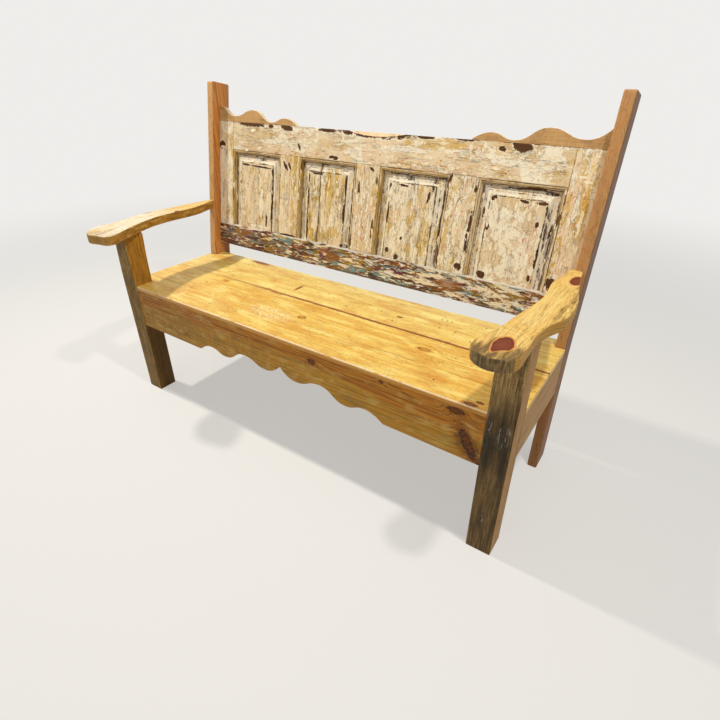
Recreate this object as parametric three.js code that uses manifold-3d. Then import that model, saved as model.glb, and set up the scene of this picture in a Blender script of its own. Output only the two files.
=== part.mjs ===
// Bench with arms, made of reclaimed timber. Its back is cut from an old four-panel door.
// Lengths are in millimetres. X runs to the viewer's right, Y to the back and Z up.

import * as THREE from "three";
import { ConvexGeometry } from "three/addons/geometries/ConvexGeometry.js";
import { mergeVertices } from "three/addons/utils/BufferGeometryUtils.js";
import Module from "manifold-3d";

const wasm = await Module();
wasm.setup();

// Whole bench
const benchLength = 1495;
const seatHeight = 454;
const armHeight = 673;
const postHeight = 1101;
const legToPost = 411.5;
const backRakeDegrees = 9.9;

// Fits between pieces
const fitGap = 0.3;
const seamGap = 0.6;
const cutOverrun = 4;
const jointRoot = 2;
const boardEdge = 1.2;

// Front legs
const legWidth = 71;
const legDepth = 70;
const legEdge = 3;
const legHeadSwell = 5;
const legHeadReach = 170;
const legHeadRound = 12;
const legHeadBendShare = 0.55;
const leftLegTaper = 12;

// Rear posts
const postThickness = 30;
const postDepth = 82.5;
const postEdge = 3;
const postBendReach = 40;
const postTopRound = 7;

// Arms
const armThickness = 31;
const armLength = 573;
const armWaist = 84;
const armOverhang = 33;
const armEdge = 3.5;
const armTenonWidth = 32;
const armTenonLength = 18;

// Each arm's sawn outline, from the post along the outer edge, round the nose and back along the inner edge.
// The first number is the way to the nose and the second the way in from the outermost point.
const rightArmShares = [
  [0, 0.5], [0.127, 0.38], [0.244, 0.23], [0.34, 0.08], [0.445, 0], [0.548, 0.04], [0.653, 0.29],
  [0.759, 0.39], [0.873, 0.37], [0.949, 0.39], [0.981, 0.55], [1, 1], [0.977, 1.4], [0.935, 1.6],
  [0.871, 1.54], [0.752, 1.32], [0.644, 1.22], [0.541, 1.1], [0.454, 1.01], [0.386, 0.98],
  [0.297, 1.02], [0.218, 1.08], [0.162, 1.04], [0.105, 0.97], [0, 0.91],
];
const leftArmShares = [
  [0, 0.37], [0.12, 0.28], [0.244, 0.17], [0.358, 0.07], [0.469, 0], [0.588, 0.06], [0.654, 0.17],
  [0.719, 0.28], [0.82, 0.3], [0.871, 0.32], [0.915, 0.45], [0.96, 0.74], [0.98, 1.1], [0.964, 1.54],
  [0.956, 1.9], [0.93, 2.03], [0.89, 2.02], [0.862, 1.92], [0.8, 1.7], [0.731, 1.5], [0.66, 1.3],
  [0.548, 1.07], [0.454, 0.98], [0.35, 1], [0.262, 1.04], [0.181, 1.01], [0.087, 0.83], [0, 0.66],
];

// Seat boards, front to back
const seatThickness = 15;
const seatSetback = 2;
const seatBehindPosts = 50.5;
const seatSeamShares = [0, 0.24, 0.552, 0.778, 1];
const seatNoseRound = 7;
const seatBackBow = 8;

// Rails under the seat
const apronThickness = 22;
const apronSetback = 3;
const apronHeight = 146;
const apronLeftLift = 3;
const apronRightDrop = 4;
const sideRailThickness = 22;
const sideRailHeight = 136;
const rearRailThickness = 22;
const rearRailHeight = 89;
const rearRailSetback = 22;
const railTenonThickness = 8;
const railTenonLength = 24;
const railTenonShoulder = 22;
const stubTenonLength = 14;
const battenWidth = 45;
const battenThickness = 20;
const battenPlaceShares = [-0.34, 0.34];

// Wave sawn in the apron's lower edge. The two crest pieces are its off-cuts, so they carry the same line.
// It is drawn outward from the central cusp, through hollows and crests, down to the straight edge.
const waveReach = 378;
const waveRise = 57;
const waveShift = 15;
const waveStopShares = [[0.169, 0.395], [0.413, 0.807], [0.661, 0.158], [0.836, 0.447]];
const cuspLeanShare = 0.43;
const waveEndLeanShare = 0.5;

// Fineness of the curves
const waveSteps = 7;
const armOutlineSteps = 72;
const curveSteps = 6;
const edgeSteps = 2;
const quarterTurn = 90;
const eighthTurn = 45;

// Heights up the back, as shares of the rise of the posts above the seat
const backRailFootShare = 0.0716;
const backRailTopShare = 0.2002;
const openingTopShare = 0.6404;
const doorTopShare = 0.7903;

// Bottom rail of the back
const backRailThickness = 32;
const backRailProud = 2;

// Door that forms the back
const doorSetback = 33.5;
const doorThickness = 34;
const stileWidth = 76.5;
const muntinWidth = 92;
const grooveInset = 12;
const grooveWidth = 8;
const grooveDepth = 11;
const grooveHaunch = 24;
const panelPlay = 1.5;
const openingCount = 4;

// Raised and fielded panels
const fieldMargin = 43;
const fieldInset = 5.5;
const fieldStep = 1.6;

// Moulding strips round the panels
const mouldingWidth = 13.5;
const mouldingInset = 0.8;
const mouldingFillet = 2;
const mouldingQuirk = 3;

// Hollow worn in the top front edge of the door
const hollowReach = 114;
const hollowDepth = 9;
const hollowShift = 14;
const hollowRoom = 40;

// Crest pieces on the door
const crestThickness = 18;
const crestShoulder = 25;
const crestShoulderRise = 51;
const sawKerf = 3;

// Values worked out from the sizes above
const backRake = THREE.MathUtils.degToRad(backRakeDegrees);
const halfLength = benchLength / 2;
const legInner = halfLength - legWidth;
const postInner = halfLength - postThickness;
const halfBack = postInner - fitGap;
const seatUnderside = seatHeight - seatThickness;
const seatDepth = legToPost + seatBehindPosts - seatSetback;
const apronFoot = seatUnderside - apronHeight;
const sideRailFoot = seatUnderside - sideRailHeight;
const rearRailFoot = seatUnderside - rearRailHeight;
const armUnderside = armHeight - armThickness;
const armRear = legToPost + (armHeight - seatHeight) * Math.tan(backRake);
const openingWidth = (2 * halfBack - 2 * stileWidth - (openingCount - 1) * muntinWidth) / openingCount;
const postRise = (postHeight - seatHeight) / Math.cos(backRake);
const backRailFoot = backRailFootShare * postRise;
const backRailTop = backRailTopShare * postRise;
const rearRailFront = legToPost + rearRailSetback;

// Colours and finishes
const paleArmWood = { color: "#c9a05a", roughness: 0.62, metalness: 0 };
const weatheredWood = { color: "#7d6646", roughness: 0.75, metalness: 0 };
const postWood = { color: "#a8713d", roughness: 0.55, metalness: 0 };
const seatWood = { color: "#dfae5c", roughness: 0.45, metalness: 0 };
const apronWood = { color: "#a9783f", roughness: 0.5, metalness: 0 };
const hiddenWood = { color: "#b98d58", roughness: 0.8, metalness: 0 };
const creamPaint = { color: "#d9c8a3", roughness: 0.7, metalness: 0 };
const layeredPaint = { color: "#8f7a5c", roughness: 0.65, metalness: 0 };
const crestWood = { color: "#b08d5a", roughness: 0.7, metalness: 0 };

// Turns of a drawn outline into the bench: side profiles lie in Y and Z, front views in X and Z
const xAxis = new THREE.Vector3(1, 0, 0);
const yAxis = new THREE.Vector3(0, 1, 0);
const zAxis = new THREE.Vector3(0, 0, 1);
const asSideView = new THREE.Matrix4().makeBasis(yAxis, zAxis, xAxis);
const asFrontView = new THREE.Matrix4().makeBasis(xAxis, zAxis, yAxis.clone().negate());
const asPlan = new THREE.Matrix4();

// Board sawn to an outline, with eased edges, centred on its thickness
function board(outline, thickness, edge, turn) {
  const geometry = new THREE.ExtrudeGeometry(outline, {
    depth: thickness - 2 * edge,
    bevelThickness: edge,
    bevelSize: edge,
    bevelOffset: -edge,
    bevelSegments: edgeSteps,
    curveSegments: curveSteps,
  });
  geometry.translate(0, 0, edge - thickness / 2);
  geometry.applyMatrix4(turn);
  return solidOf(geometry);
}

// Square-edged stick with a drawn section, centred on its length
function stick(section, length, turn) {
  const geometry = new THREE.ExtrudeGeometry(section, {
    depth: length,
    bevelEnabled: false,
    curveSegments: curveSteps,
  });
  geometry.translate(0, 0, -length / 2);
  geometry.applyMatrix4(turn);
  return solidOf(geometry);
}

// Block between two opposite corners
function block([left, front, bottom], [right, back, top]) {
  const geometry = new THREE.BoxGeometry(right - left, back - front, top - bottom);
  geometry.translate((left + right) / 2, (front + back) / 2, (bottom + top) / 2);
  return solidOf(geometry);
}

// Closed geometry turned into a solid that can be cut and joined
function solidOf(geometry) {
  const plain = geometry.index ? geometry.toNonIndexed() : geometry.clone();
  plain.deleteAttribute("normal");
  plain.deleteAttribute("uv");
  const merged = mergeVertices(plain);
  return new wasm.Manifold(new wasm.Mesh({
    numProp: 3,
    vertProperties: merged.attributes.position.array,
    triVerts: merged.index.array,
  }));
}

function geometryOf(solid) {
  const mesh = solid.getMesh();
  const geometry = new THREE.BufferGeometry();
  geometry.setAttribute("position", new THREE.BufferAttribute(mesh.vertProperties, 3));
  geometry.setIndex(new THREE.BufferAttribute(mesh.triVerts, 1));
  geometry.computeVertexNormals();
  return geometry;
}

function piece(name, solid, finish) {
  const mesh = new THREE.Mesh(geometryOf(solid), new THREE.MeshStandardMaterial(finish));
  mesh.name = name;
  return mesh;
}

function rectangle(left, bottom, right, top) {
  const shape = new THREE.Shape();
  shape.moveTo(left, bottom);
  shape.lineTo(right, bottom);
  shape.lineTo(right, top);
  shape.lineTo(left, top);
  return shape;
}

// Name and sign of each side, seen from the front
const sides = [["left", -1], ["right", 1]];

// Block given on the right side of the bench and mirrored for the left one
function sidedBlock(side, [inner, front, bottom], [outer, back, top]) {
  const ends = [side * inner, side * outer];
  return block([Math.min(...ends), front, bottom], [Math.max(...ends), back, top]);
}

// Front legs: square posts that swell at the back towards the arm, with a tenon into it

function legProfile() {
  const top = armUnderside - fitGap;
  const headBack = legDepth + legHeadSwell;
  const shape = new THREE.Shape();
  shape.moveTo(0, 0);
  shape.lineTo(legDepth, 0);
  shape.lineTo(legDepth, top - legHeadReach);
  shape.quadraticCurveTo(legDepth, top - legHeadReach * legHeadBendShare, headBack, top - legHeadRound);
  shape.quadraticCurveTo(headBack, top, headBack - legHeadRound, top);
  shape.lineTo(0, top);
  return shape;
}

// Wedge that narrows the outer side of a leg between the seat and the arm
function legTaperCut(side, taper) {
  const outer = side * halfLength;
  const past = side * (halfLength + cutOverrun);
  const shape = new THREE.Shape();
  shape.moveTo(outer, seatHeight);
  shape.lineTo(past, seatHeight);
  shape.lineTo(past, armUnderside);
  shape.lineTo(outer - side * taper, armUnderside);
  const depth = legDepth + legHeadSwell + 2 * cutOverrun;
  return stick(shape, depth, asFrontView).translate([0, depth / 2 - cutOverrun, 0]);
}

function frontLeg([word, side]) {
  const middle = halfLength - legWidth / 2;
  const half = armTenonWidth / 2;
  let solid = board(legProfile(), legWidth, legEdge, asSideView).translate([side * middle, 0, 0]);
  if (side < 0) {
    solid = solid.subtract(legTaperCut(side, leftLegTaper));
  }
  solid = solid.add(sidedBlock(
    side,
    [middle - half, legDepth / 2 - half, armUnderside - fitGap - jointRoot],
    [middle + half, legDepth / 2 + half, armUnderside + armTenonLength],
  ));
  solid = solid.subtract(apronTenon(side, fitGap)).subtract(sideRailFrontTenon(side, fitGap));
  return piece(`${word}_front_leg`, solid, weatheredWood);
}

// Rear posts: bent boards, upright below the seat and raked above it

function postProfile() {
  const along = new THREE.Vector2(Math.sin(backRake), Math.cos(backRake));
  const across = new THREE.Vector2(Math.cos(backRake), -Math.sin(backRake));
  const frontBend = new THREE.Vector2(0, seatHeight);
  const backBend = new THREE.Vector2(postDepth, seatHeight - postDepth * Math.tan(backRake / 2));
  const frontTop = frontBend.clone().addScaledVector(along, postRise);
  const backTop = frontTop.clone().addScaledVector(across, postDepth);
  const moved = (point, direction, distance) => point.clone().addScaledVector(direction, distance);
  const shape = new THREE.Shape();
  const lineTo = (point) => shape.lineTo(point.x, point.y);
  const curveTo = (corner, point) => shape.quadraticCurveTo(corner.x, corner.y, point.x, point.y);
  shape.moveTo(0, 0);
  shape.lineTo(postDepth, 0);
  shape.lineTo(postDepth, backBend.y - postBendReach);
  curveTo(backBend, moved(backBend, along, postBendReach));
  lineTo(moved(backTop, along, -postTopRound));
  curveTo(backTop, moved(backTop, across, -postTopRound));
  lineTo(moved(frontTop, across, postTopRound));
  curveTo(frontTop, moved(frontTop, along, -postTopRound));
  lineTo(moved(frontBend, along, postBendReach));
  curveTo(frontBend, new THREE.Vector2(0, seatHeight - postBendReach));
  return shape;
}

function rearPost([word, side]) {
  const middle = halfLength - postThickness / 2;
  let solid = board(postProfile(), postThickness, postEdge, asSideView);
  solid = solid.translate([side * middle, legToPost, 0]);
  solid = solid.subtract(sideRailRearTenon(side, fitGap)).subtract(rearRailTenon(side, fitGap));
  solid = solid.subtract(inBack(backRailTenon(side, fitGap)));
  return piece(`${word}_rear_post`, solid, postWood);
}

// Arms: level boards with a sawn outline, cut to the raked posts behind and mortised over the legs

function armOutline(side, shares) {
  const outermost = halfLength + armOverhang;
  const points = shares.map(([along, across]) => new THREE.Vector3(
    side * (outermost - across * armWaist),
    armRear - along * armLength,
    0,
  ));
  const inner = side * (outermost - shares[shares.length - 1][1] * armWaist);
  const outer = side * (outermost - shares[0][1] * armWaist);
  const line = new THREE.CatmullRomCurve3(points, false, "centripetal").getSpacedPoints(armOutlineSteps);
  const shape = new THREE.Shape(line.map((point) => new THREE.Vector2(point.x, point.y)));
  shape.lineTo(inner, armRear + cutOverrun);
  shape.lineTo(outer, armRear + cutOverrun);
  return shape;
}

// Everything behind the raked front plane of the posts, grown by the fit
function behindPosts() {
  const past = benchLength;
  const cutter = block([-past, -fitGap, -armHeight], [past, armLength, postHeight]);
  return cutter.rotate([-backRakeDegrees, 0, 0]).translate([0, legToPost, seatHeight]);
}

function arm([word, side], shares) {
  const middle = halfLength - legWidth / 2;
  const half = armTenonWidth / 2 + fitGap;
  let solid = board(armOutline(side, shares), armThickness, armEdge, asPlan);
  solid = solid.translate([0, 0, armHeight - armThickness / 2]).subtract(behindPosts());
  solid = solid.subtract(sidedBlock(
    side,
    [middle - half, legDepth / 2 - half, armUnderside - cutOverrun],
    [middle + half, legDepth / 2 + half, armUnderside + armTenonLength + fitGap],
  ));
  return piece(`${word}_arm`, solid, paleArmWood);
}

// Seat boards: the front one is rounded and notched round the legs, the back one round the posts

function seatFrontBoard(back) {
  const shape = new THREE.Shape();
  shape.moveTo(seatSetback + boardEdge, seatUnderside);
  shape.lineTo(back - boardEdge, seatUnderside);
  shape.lineTo(back, seatUnderside + boardEdge);
  shape.lineTo(back, seatHeight - boardEdge);
  shape.lineTo(back - boardEdge, seatHeight);
  shape.lineTo(seatSetback + seatNoseRound, seatHeight);
  shape.quadraticCurveTo(seatSetback, seatHeight, seatSetback, seatHeight - seatNoseRound);
  shape.lineTo(seatSetback, seatUnderside + boardEdge);
  let solid = stick(shape, benchLength, asSideView);
  for (const [, side] of sides) {
    solid = solid.subtract(sidedBlock(
      side,
      [legInner - fitGap, -cutOverrun, seatUnderside - cutOverrun],
      [halfLength + cutOverrun, legDepth + fitGap, seatHeight + cutOverrun],
    ));
  }
  return solid;
}

function seatBackOutline(front) {
  const back = seatSetback + seatDepth;
  const shape = new THREE.Shape();
  shape.moveTo(-halfLength, front);
  shape.lineTo(halfLength, front);
  shape.lineTo(halfLength, legToPost - fitGap);
  shape.lineTo(halfBack, legToPost - fitGap);
  shape.lineTo(halfBack, back);
  shape.quadraticCurveTo(0, back - 2 * seatBackBow, -halfBack, back);
  shape.lineTo(-halfBack, legToPost - fitGap);
  shape.lineTo(-halfLength, legToPost - fitGap);
  return shape;
}

function seatBoards() {
  const boardCount = seatSeamShares.length - 1;
  const middle = seatUnderside + seatThickness / 2;
  return seatSeamShares.slice(1).map((share, index) => {
    const front = seatSetback + seatSeamShares[index] * seatDepth + seamGap / 2;
    const back = seatSetback + share * seatDepth - seamGap / 2;
    let solid;
    if (index === 0) {
      solid = seatFrontBoard(back);
    } else if (index === boardCount - 1) {
      solid = board(seatBackOutline(front), seatThickness, boardEdge, asPlan).translate([0, 0, middle]);
    } else {
      const outline = rectangle(-halfLength, front, halfLength, back);
      solid = board(outline, seatThickness, boardEdge, asPlan).translate([0, 0, middle]);
    }
    return piece(`seat_board_${index + 1}`, solid, seatWood);
  });
}

// Wave line from the cusp outward, as distance and rise
function waveLine() {
  const stops = waveStopShares.map(([reach, rise]) => [reach * waveReach, rise * waveRise]);
  const line = new THREE.Path();
  let [fromReach, fromRise] = stops[0];
  line.moveTo(0, waveRise);
  line.quadraticCurveTo(fromReach * cuspLeanShare, fromRise, fromReach, fromRise);
  for (const [reach, rise] of stops.slice(1)) {
    const middle = (fromReach + reach) / 2;
    line.bezierCurveTo(middle, fromRise, middle, rise, reach, rise);
    [fromReach, fromRise] = [reach, rise];
  }
  const lean = THREE.MathUtils.lerp(fromReach, waveReach, waveEndLeanShare);
  line.quadraticCurveTo(lean, fromRise, waveReach, 0);
  return line.getPoints(waveSteps);
}

// Front apron, tenoned into the legs

function apronTenon(side, gap) {
  const front = apronSetback + (apronThickness - railTenonThickness) / 2;
  return sidedBlock(
    side,
    [legInner - fitGap - jointRoot, front - gap, apronFoot + railTenonShoulder - gap],
    [
      legInner + railTenonLength + gap,
      front + railTenonThickness + gap,
      seatUnderside - railTenonShoulder + gap,
    ],
  );
}

function frontApron() {
  const half = legInner - fitGap;
  const wave = waveLine();
  const leftWave = wave.map(({ x, y }) => new THREE.Vector2(waveShift - x, apronFoot + y)).reverse();
  const rightWave = wave.slice(1).map(({ x, y }) => new THREE.Vector2(waveShift + x, apronFoot + y));
  const leftEnd = new THREE.Vector2(-half, apronFoot + apronLeftLift);
  const shape = new THREE.Shape([leftEnd, ...leftWave, ...rightWave]);
  shape.lineTo(half, apronFoot - apronRightDrop);
  shape.lineTo(half, seatUnderside - fitGap);
  shape.lineTo(-half, seatUnderside - fitGap);
  let solid = board(shape, apronThickness, boardEdge, asFrontView);
  solid = solid.translate([0, apronSetback + apronThickness / 2, 0]);
  for (const [, side] of sides) {
    solid = solid.add(apronTenon(side, 0));
  }
  return piece("front_apron", solid, apronWood);
}

// Side rails, flush with the outer faces of the legs and posts

function sideRailTenonBlock(side, gap, front, back) {
  const middle = halfLength - sideRailThickness / 2;
  const half = railTenonThickness / 2 + gap;
  return sidedBlock(
    side,
    [middle - half, front, sideRailFoot + railTenonShoulder - gap],
    [middle + half, back, seatUnderside - railTenonShoulder + gap],
  );
}

function sideRailFrontTenon(side, gap) {
  return sideRailTenonBlock(side, gap, legDepth - railTenonLength - gap, legDepth + fitGap + jointRoot);
}

function sideRailRearTenon(side, gap) {
  return sideRailTenonBlock(side, gap, legToPost - fitGap - jointRoot, legToPost + railTenonLength + gap);
}

function sideRail([word, side]) {
  const outline = rectangle(legDepth + fitGap, sideRailFoot, legToPost - fitGap, seatUnderside - fitGap);
  let solid = board(outline, sideRailThickness, boardEdge, asSideView);
  solid = solid.translate([side * (halfLength - sideRailThickness / 2), 0, 0]);
  solid = solid.add(sideRailFrontTenon(side, 0)).add(sideRailRearTenon(side, 0));
  return piece(`${word}_side_rail`, solid, weatheredWood);
}

// Rear rail under the seat, with stub tenons into the posts

function rearRailTenon(side, gap) {
  const front = rearRailFront + (rearRailThickness - railTenonThickness) / 2;
  return sidedBlock(
    side,
    [halfBack - jointRoot, front - gap, rearRailFoot + railTenonShoulder - gap],
    [
      postInner + stubTenonLength + gap,
      front + railTenonThickness + gap,
      seatUnderside - railTenonShoulder + gap,
    ],
  );
}

function rearRail() {
  const outline = rectangle(-halfBack, rearRailFoot, halfBack, seatUnderside - fitGap);
  let solid = board(outline, rearRailThickness, boardEdge, asFrontView);
  solid = solid.translate([0, rearRailFront + rearRailThickness / 2, 0]);
  for (const [, side] of sides) {
    solid = solid.add(rearRailTenon(side, 0));
  }
  return piece("rear_seat_rail", solid, hiddenWood);
}

// Battens across the underside of the seat, which hold its boards together
function seatBattens() {
  const front = apronSetback + apronThickness + fitGap;
  const outline = rectangle(-battenWidth / 2, front, battenWidth / 2, rearRailFront - fitGap);
  const middle = seatUnderside - fitGap - battenThickness / 2;
  return battenPlaceShares.map((share, index) => {
    const solid = board(outline, battenThickness, boardEdge, asPlan);
    return piece(`seat_batten_${index + 1}`, solid.translate([share * benchLength, 0, middle]), hiddenWood);
  });
}

// The back is drawn upright, with its front face at Y zero and the seat's top at Z zero, and then raked
function inBack(solid) {
  const face = legToPost + doorSetback / Math.cos(backRake);
  return solid.rotate([-backRakeDegrees, 0, 0]).translate([0, face, seatHeight]);
}

function backRailTenon(side, gap) {
  const front = (backRailThickness - railTenonThickness) / 2 - backRailProud;
  return sidedBlock(
    side,
    [halfBack - jointRoot, front - gap, backRailFoot + railTenonShoulder - gap],
    [
      postInner + stubTenonLength + gap,
      front + railTenonThickness + gap,
      backRailTop - railTenonShoulder + gap,
    ],
  );
}

function backRail() {
  const outline = rectangle(-halfBack, backRailFoot, halfBack, backRailTop);
  let solid = board(outline, backRailThickness, boardEdge, asFrontView);
  solid = solid.translate([0, backRailThickness / 2 - backRailProud, 0]);
  for (const [, side] of sides) {
    solid = solid.add(backRailTenon(side, 0));
  }
  return piece("back_bottom_rail", inBack(solid), layeredPaint);
}

// Door frame: stiles, top rail and muntins, grooved for the panels. Its foot was sawn off.
const doorFoot = backRailTop + fitGap;
const doorTop = doorTopShare * postRise;
const openingTop = openingTopShare * postRise;
const openingHeight = openingTop - doorFoot;
const stileInner = halfBack - stileWidth;
const openingLefts = Array.from(
  { length: openingCount },
  (_, index) => -stileInner + index * (openingWidth + muntinWidth),
);

function frameBoard(left, bottom, right, top) {
  const solid = board(rectangle(left, bottom, right, top), doorThickness, boardEdge, asFrontView);
  return solid.translate([0, doorThickness / 2, 0]);
}

function grooveCut(left, bottom, right, top) {
  return block([left, grooveInset, bottom], [right, grooveInset + grooveWidth, top]);
}

function tongue(left, bottom, right, top) {
  const front = grooveInset + fitGap;
  return block([left, front, bottom], [right, grooveInset + grooveWidth - fitGap, top]);
}

function doorStile([word, side]) {
  const [left, right] = side < 0 ? [-halfBack, -stileInner] : [stileInner, halfBack];
  const edge = side < 0 ? right : left;
  const solid = frameBoard(left, doorFoot, right, doorTop);
  const cut = grooveCut(
    Math.min(edge - side * cutOverrun, edge + side * grooveDepth),
    doorFoot - cutOverrun,
    Math.max(edge - side * cutOverrun, edge + side * grooveDepth),
    doorTop - grooveHaunch,
  );
  return piece(`door_${word}_stile`, inBack(solid.subtract(cut)), creamPaint);
}

// Long shallow scoop across the top front edge
function wornHollow() {
  const shape = new THREE.Shape();
  shape.moveTo(-hollowReach, 0);
  shape.quadraticCurveTo(0, -2 * hollowDepth, hollowReach, 0);
  shape.lineTo(hollowReach, hollowRoom);
  shape.lineTo(-hollowReach, hollowRoom);
  return stick(shape, 2 * hollowRoom, asFrontView).rotate([eighthTurn, 0, 0]).translate([hollowShift, 0, doorTop]);
}

function doorTopRail() {
  const half = stileInner - fitGap;
  let solid = frameBoard(-half, openingTop, half, doorTop);
  solid = solid.subtract(grooveCut(
    -half - cutOverrun,
    openingTop - cutOverrun,
    half + cutOverrun,
    openingTop + grooveDepth,
  ));
  for (const [, side] of sides) {
    const ends = [side * (half - jointRoot), side * (stileInner + grooveDepth - fitGap)];
    const bottom = openingTop + grooveDepth + fitGap;
    solid = solid.add(tongue(Math.min(...ends), bottom, Math.max(...ends), doorTop - grooveHaunch - fitGap));
  }
  return piece("door_top_rail", inBack(solid.subtract(wornHollow())), creamPaint);
}

function doorMuntins() {
  return openingLefts.slice(1).map((openingLeft, index) => {
    const left = openingLeft - muntinWidth;
    const top = openingTop - fitGap;
    let solid = frameBoard(left, doorFoot, openingLeft, top);
    const grooves = [
      [left - cutOverrun, left + grooveDepth],
      [openingLeft - grooveDepth, openingLeft + cutOverrun],
    ];
    for (const [from, to] of grooves) {
      solid = solid.subtract(grooveCut(from, doorFoot - cutOverrun, to, top + cutOverrun));
    }
    solid = solid.add(tongue(
      left + grooveDepth + fitGap,
      top - jointRoot,
      openingLeft - grooveDepth - fitGap,
      openingTop + grooveDepth - fitGap,
    ));
    return piece(`door_muntin_${index + 1}`, inBack(solid), creamPaint);
  });
}

// Panel with a raised field, sloping margins and a thin edge in the grooves. The sawn foot has no margin.
function panelSolid(left) {
  const right = left + openingWidth;
  const reach = grooveDepth - panelPlay;
  const slabFront = grooveInset + fitGap;
  const fieldFoot = fieldInset + fieldStep;
  const slab = tongue(left - reach, doorFoot, right + reach, openingTop + reach);
  const slopeCorners = [];
  for (const [inset, depth] of [[mouldingWidth, slabFront + jointRoot], [fieldMargin, fieldFoot]]) {
    for (const x of [left + inset, right - inset]) {
      for (const z of [doorFoot, openingTop - inset]) {
        slopeCorners.push(new THREE.Vector3(x, depth, z));
      }
    }
  }
  const slope = solidOf(new ConvexGeometry(slopeCorners));
  const field = block(
    [left + fieldMargin, fieldInset, doorFoot],
    [right - fieldMargin, slabFront + jointRoot, openingTop - fieldMargin],
  );
  return slab.add(slope).add(field);
}

function doorPanels() {
  return openingLefts.map((left, index) => {
    return piece(`door_panel_${index + 1}`, inBack(panelSolid(left)), creamPaint);
  });
}

// Ogee section of the moulding: X runs from the frame's edge over the panel and Y from the face inwards
function mouldingSection() {
  const depth = grooveInset - mouldingInset;
  const middle = (mouldingQuirk + mouldingWidth) / 2;
  const foot = grooveInset - mouldingFillet;
  const shape = new THREE.Shape();
  shape.moveTo(fitGap, grooveInset);
  shape.lineTo(fitGap, mouldingInset);
  shape.lineTo(mouldingQuirk, mouldingInset);
  shape.quadraticCurveTo(middle, mouldingInset, middle, mouldingInset + depth / 2);
  shape.quadraticCurveTo(middle, foot, mouldingWidth - fitGap, foot);
  shape.lineTo(mouldingWidth - fitGap, grooveInset);
  return shape;
}

// Half-space beyond a mitre, as a block turned by an eighth of a turn about the corner
function beyondMitre(cornerX, cornerZ, turnDegrees) {
  const size = openingWidth + openingHeight;
  const cutter = block([-size, -cutOverrun, -fitGap / 2], [size, grooveInset + cutOverrun, size]);
  return cutter.rotate([0, turnDegrees, 0]).translate([cornerX, 0, cornerZ]);
}

function openingMouldings(left, index) {
  const right = left + openingWidth;
  const middle = (left + right) / 2;
  const upright = stick(mouldingSection(), openingHeight, asPlan).translate([0, 0, openingHeight / 2]);
  const leftStrip = upright.translate([left, 0, doorFoot]).subtract(beyondMitre(left, openingTop, eighthTurn));
  const rightStrip = upright.mirror([1, 0, 0]).translate([right, 0, doorFoot])
    .subtract(beyondMitre(right, openingTop, -eighthTurn));
  const level = stick(mouldingSection(), openingWidth, asPlan).rotate([0, quarterTurn, 0]);
  const topStrip = level.translate([middle, 0, openingTop])
    .subtract(beyondMitre(left, openingTop, -quarterTurn - eighthTurn))
    .subtract(beyondMitre(right, openingTop, quarterTurn + eighthTurn));
  return [["left", leftStrip], ["top", topStrip], ["right", rightStrip]].map(
    ([word, solid]) => piece(`panel_${index + 1}_${word}_moulding`, inBack(solid), creamPaint),
  );
}

// Crest pieces, fixed on the door with their cusps against the posts. The saw took its kerf off their wave.
function crest([word, side], shoulder, topRise) {
  const foot = doorTop + fitGap;
  const line = waveLine().slice(1).map(({ x, y }) => new THREE.Vector2(
    side * (halfBack - shoulder - x),
    foot + Math.min(y, topRise) - sawKerf,
  ));
  const shape = new THREE.Shape([
    new THREE.Vector2(side * halfBack, foot - sawKerf),
    new THREE.Vector2(side * halfBack, foot + topRise - sawKerf),
    new THREE.Vector2(side * (halfBack - shoulder), foot + topRise - sawKerf),
    ...line,
  ]);
  const below = block(
    [-halfLength, -cutOverrun, foot - crestThickness],
    [halfLength, crestThickness + cutOverrun, foot],
  );
  const solid = board(shape, crestThickness, boardEdge, asFrontView).translate([0, crestThickness / 2, 0]);
  return piece(`crest_${word}`, inBack(solid.subtract(below)), crestWood);
}

// All pieces, drawn with the legs' front faces at Y zero
const [leftSide, rightSide] = sides;
const pieces = new THREE.Group();
pieces.add(
  ...sides.map(frontLeg),
  ...sides.map(rearPost),
  arm(leftSide, leftArmShares),
  arm(rightSide, rightArmShares),
  ...seatBoards(),
  frontApron(),
  ...sides.map(sideRail),
  rearRail(),
  ...seatBattens(),
  backRail(),
  ...sides.map(doorStile),
  doorTopRail(),
  ...doorMuntins(),
  ...doorPanels(),
  ...openingLefts.flatMap(openingMouldings),
  crest(leftSide, crestShoulder, crestShoulderRise),
  crest(rightSide, 0, waveRise),
);

// The origin is the middle of the bench's box, on the floor
const box = new THREE.Box3().setFromObject(pieces, true);
pieces.position.set(-(box.min.x + box.max.x) / 2, -(box.min.y + box.max.y) / 2, -box.min.z);

const group = new THREE.Group();
group.name = "bench";
group.add(pieces);

export default group;
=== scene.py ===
import math
import random

import bmesh
import bpy
from mathutils import Matrix, Vector


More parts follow.
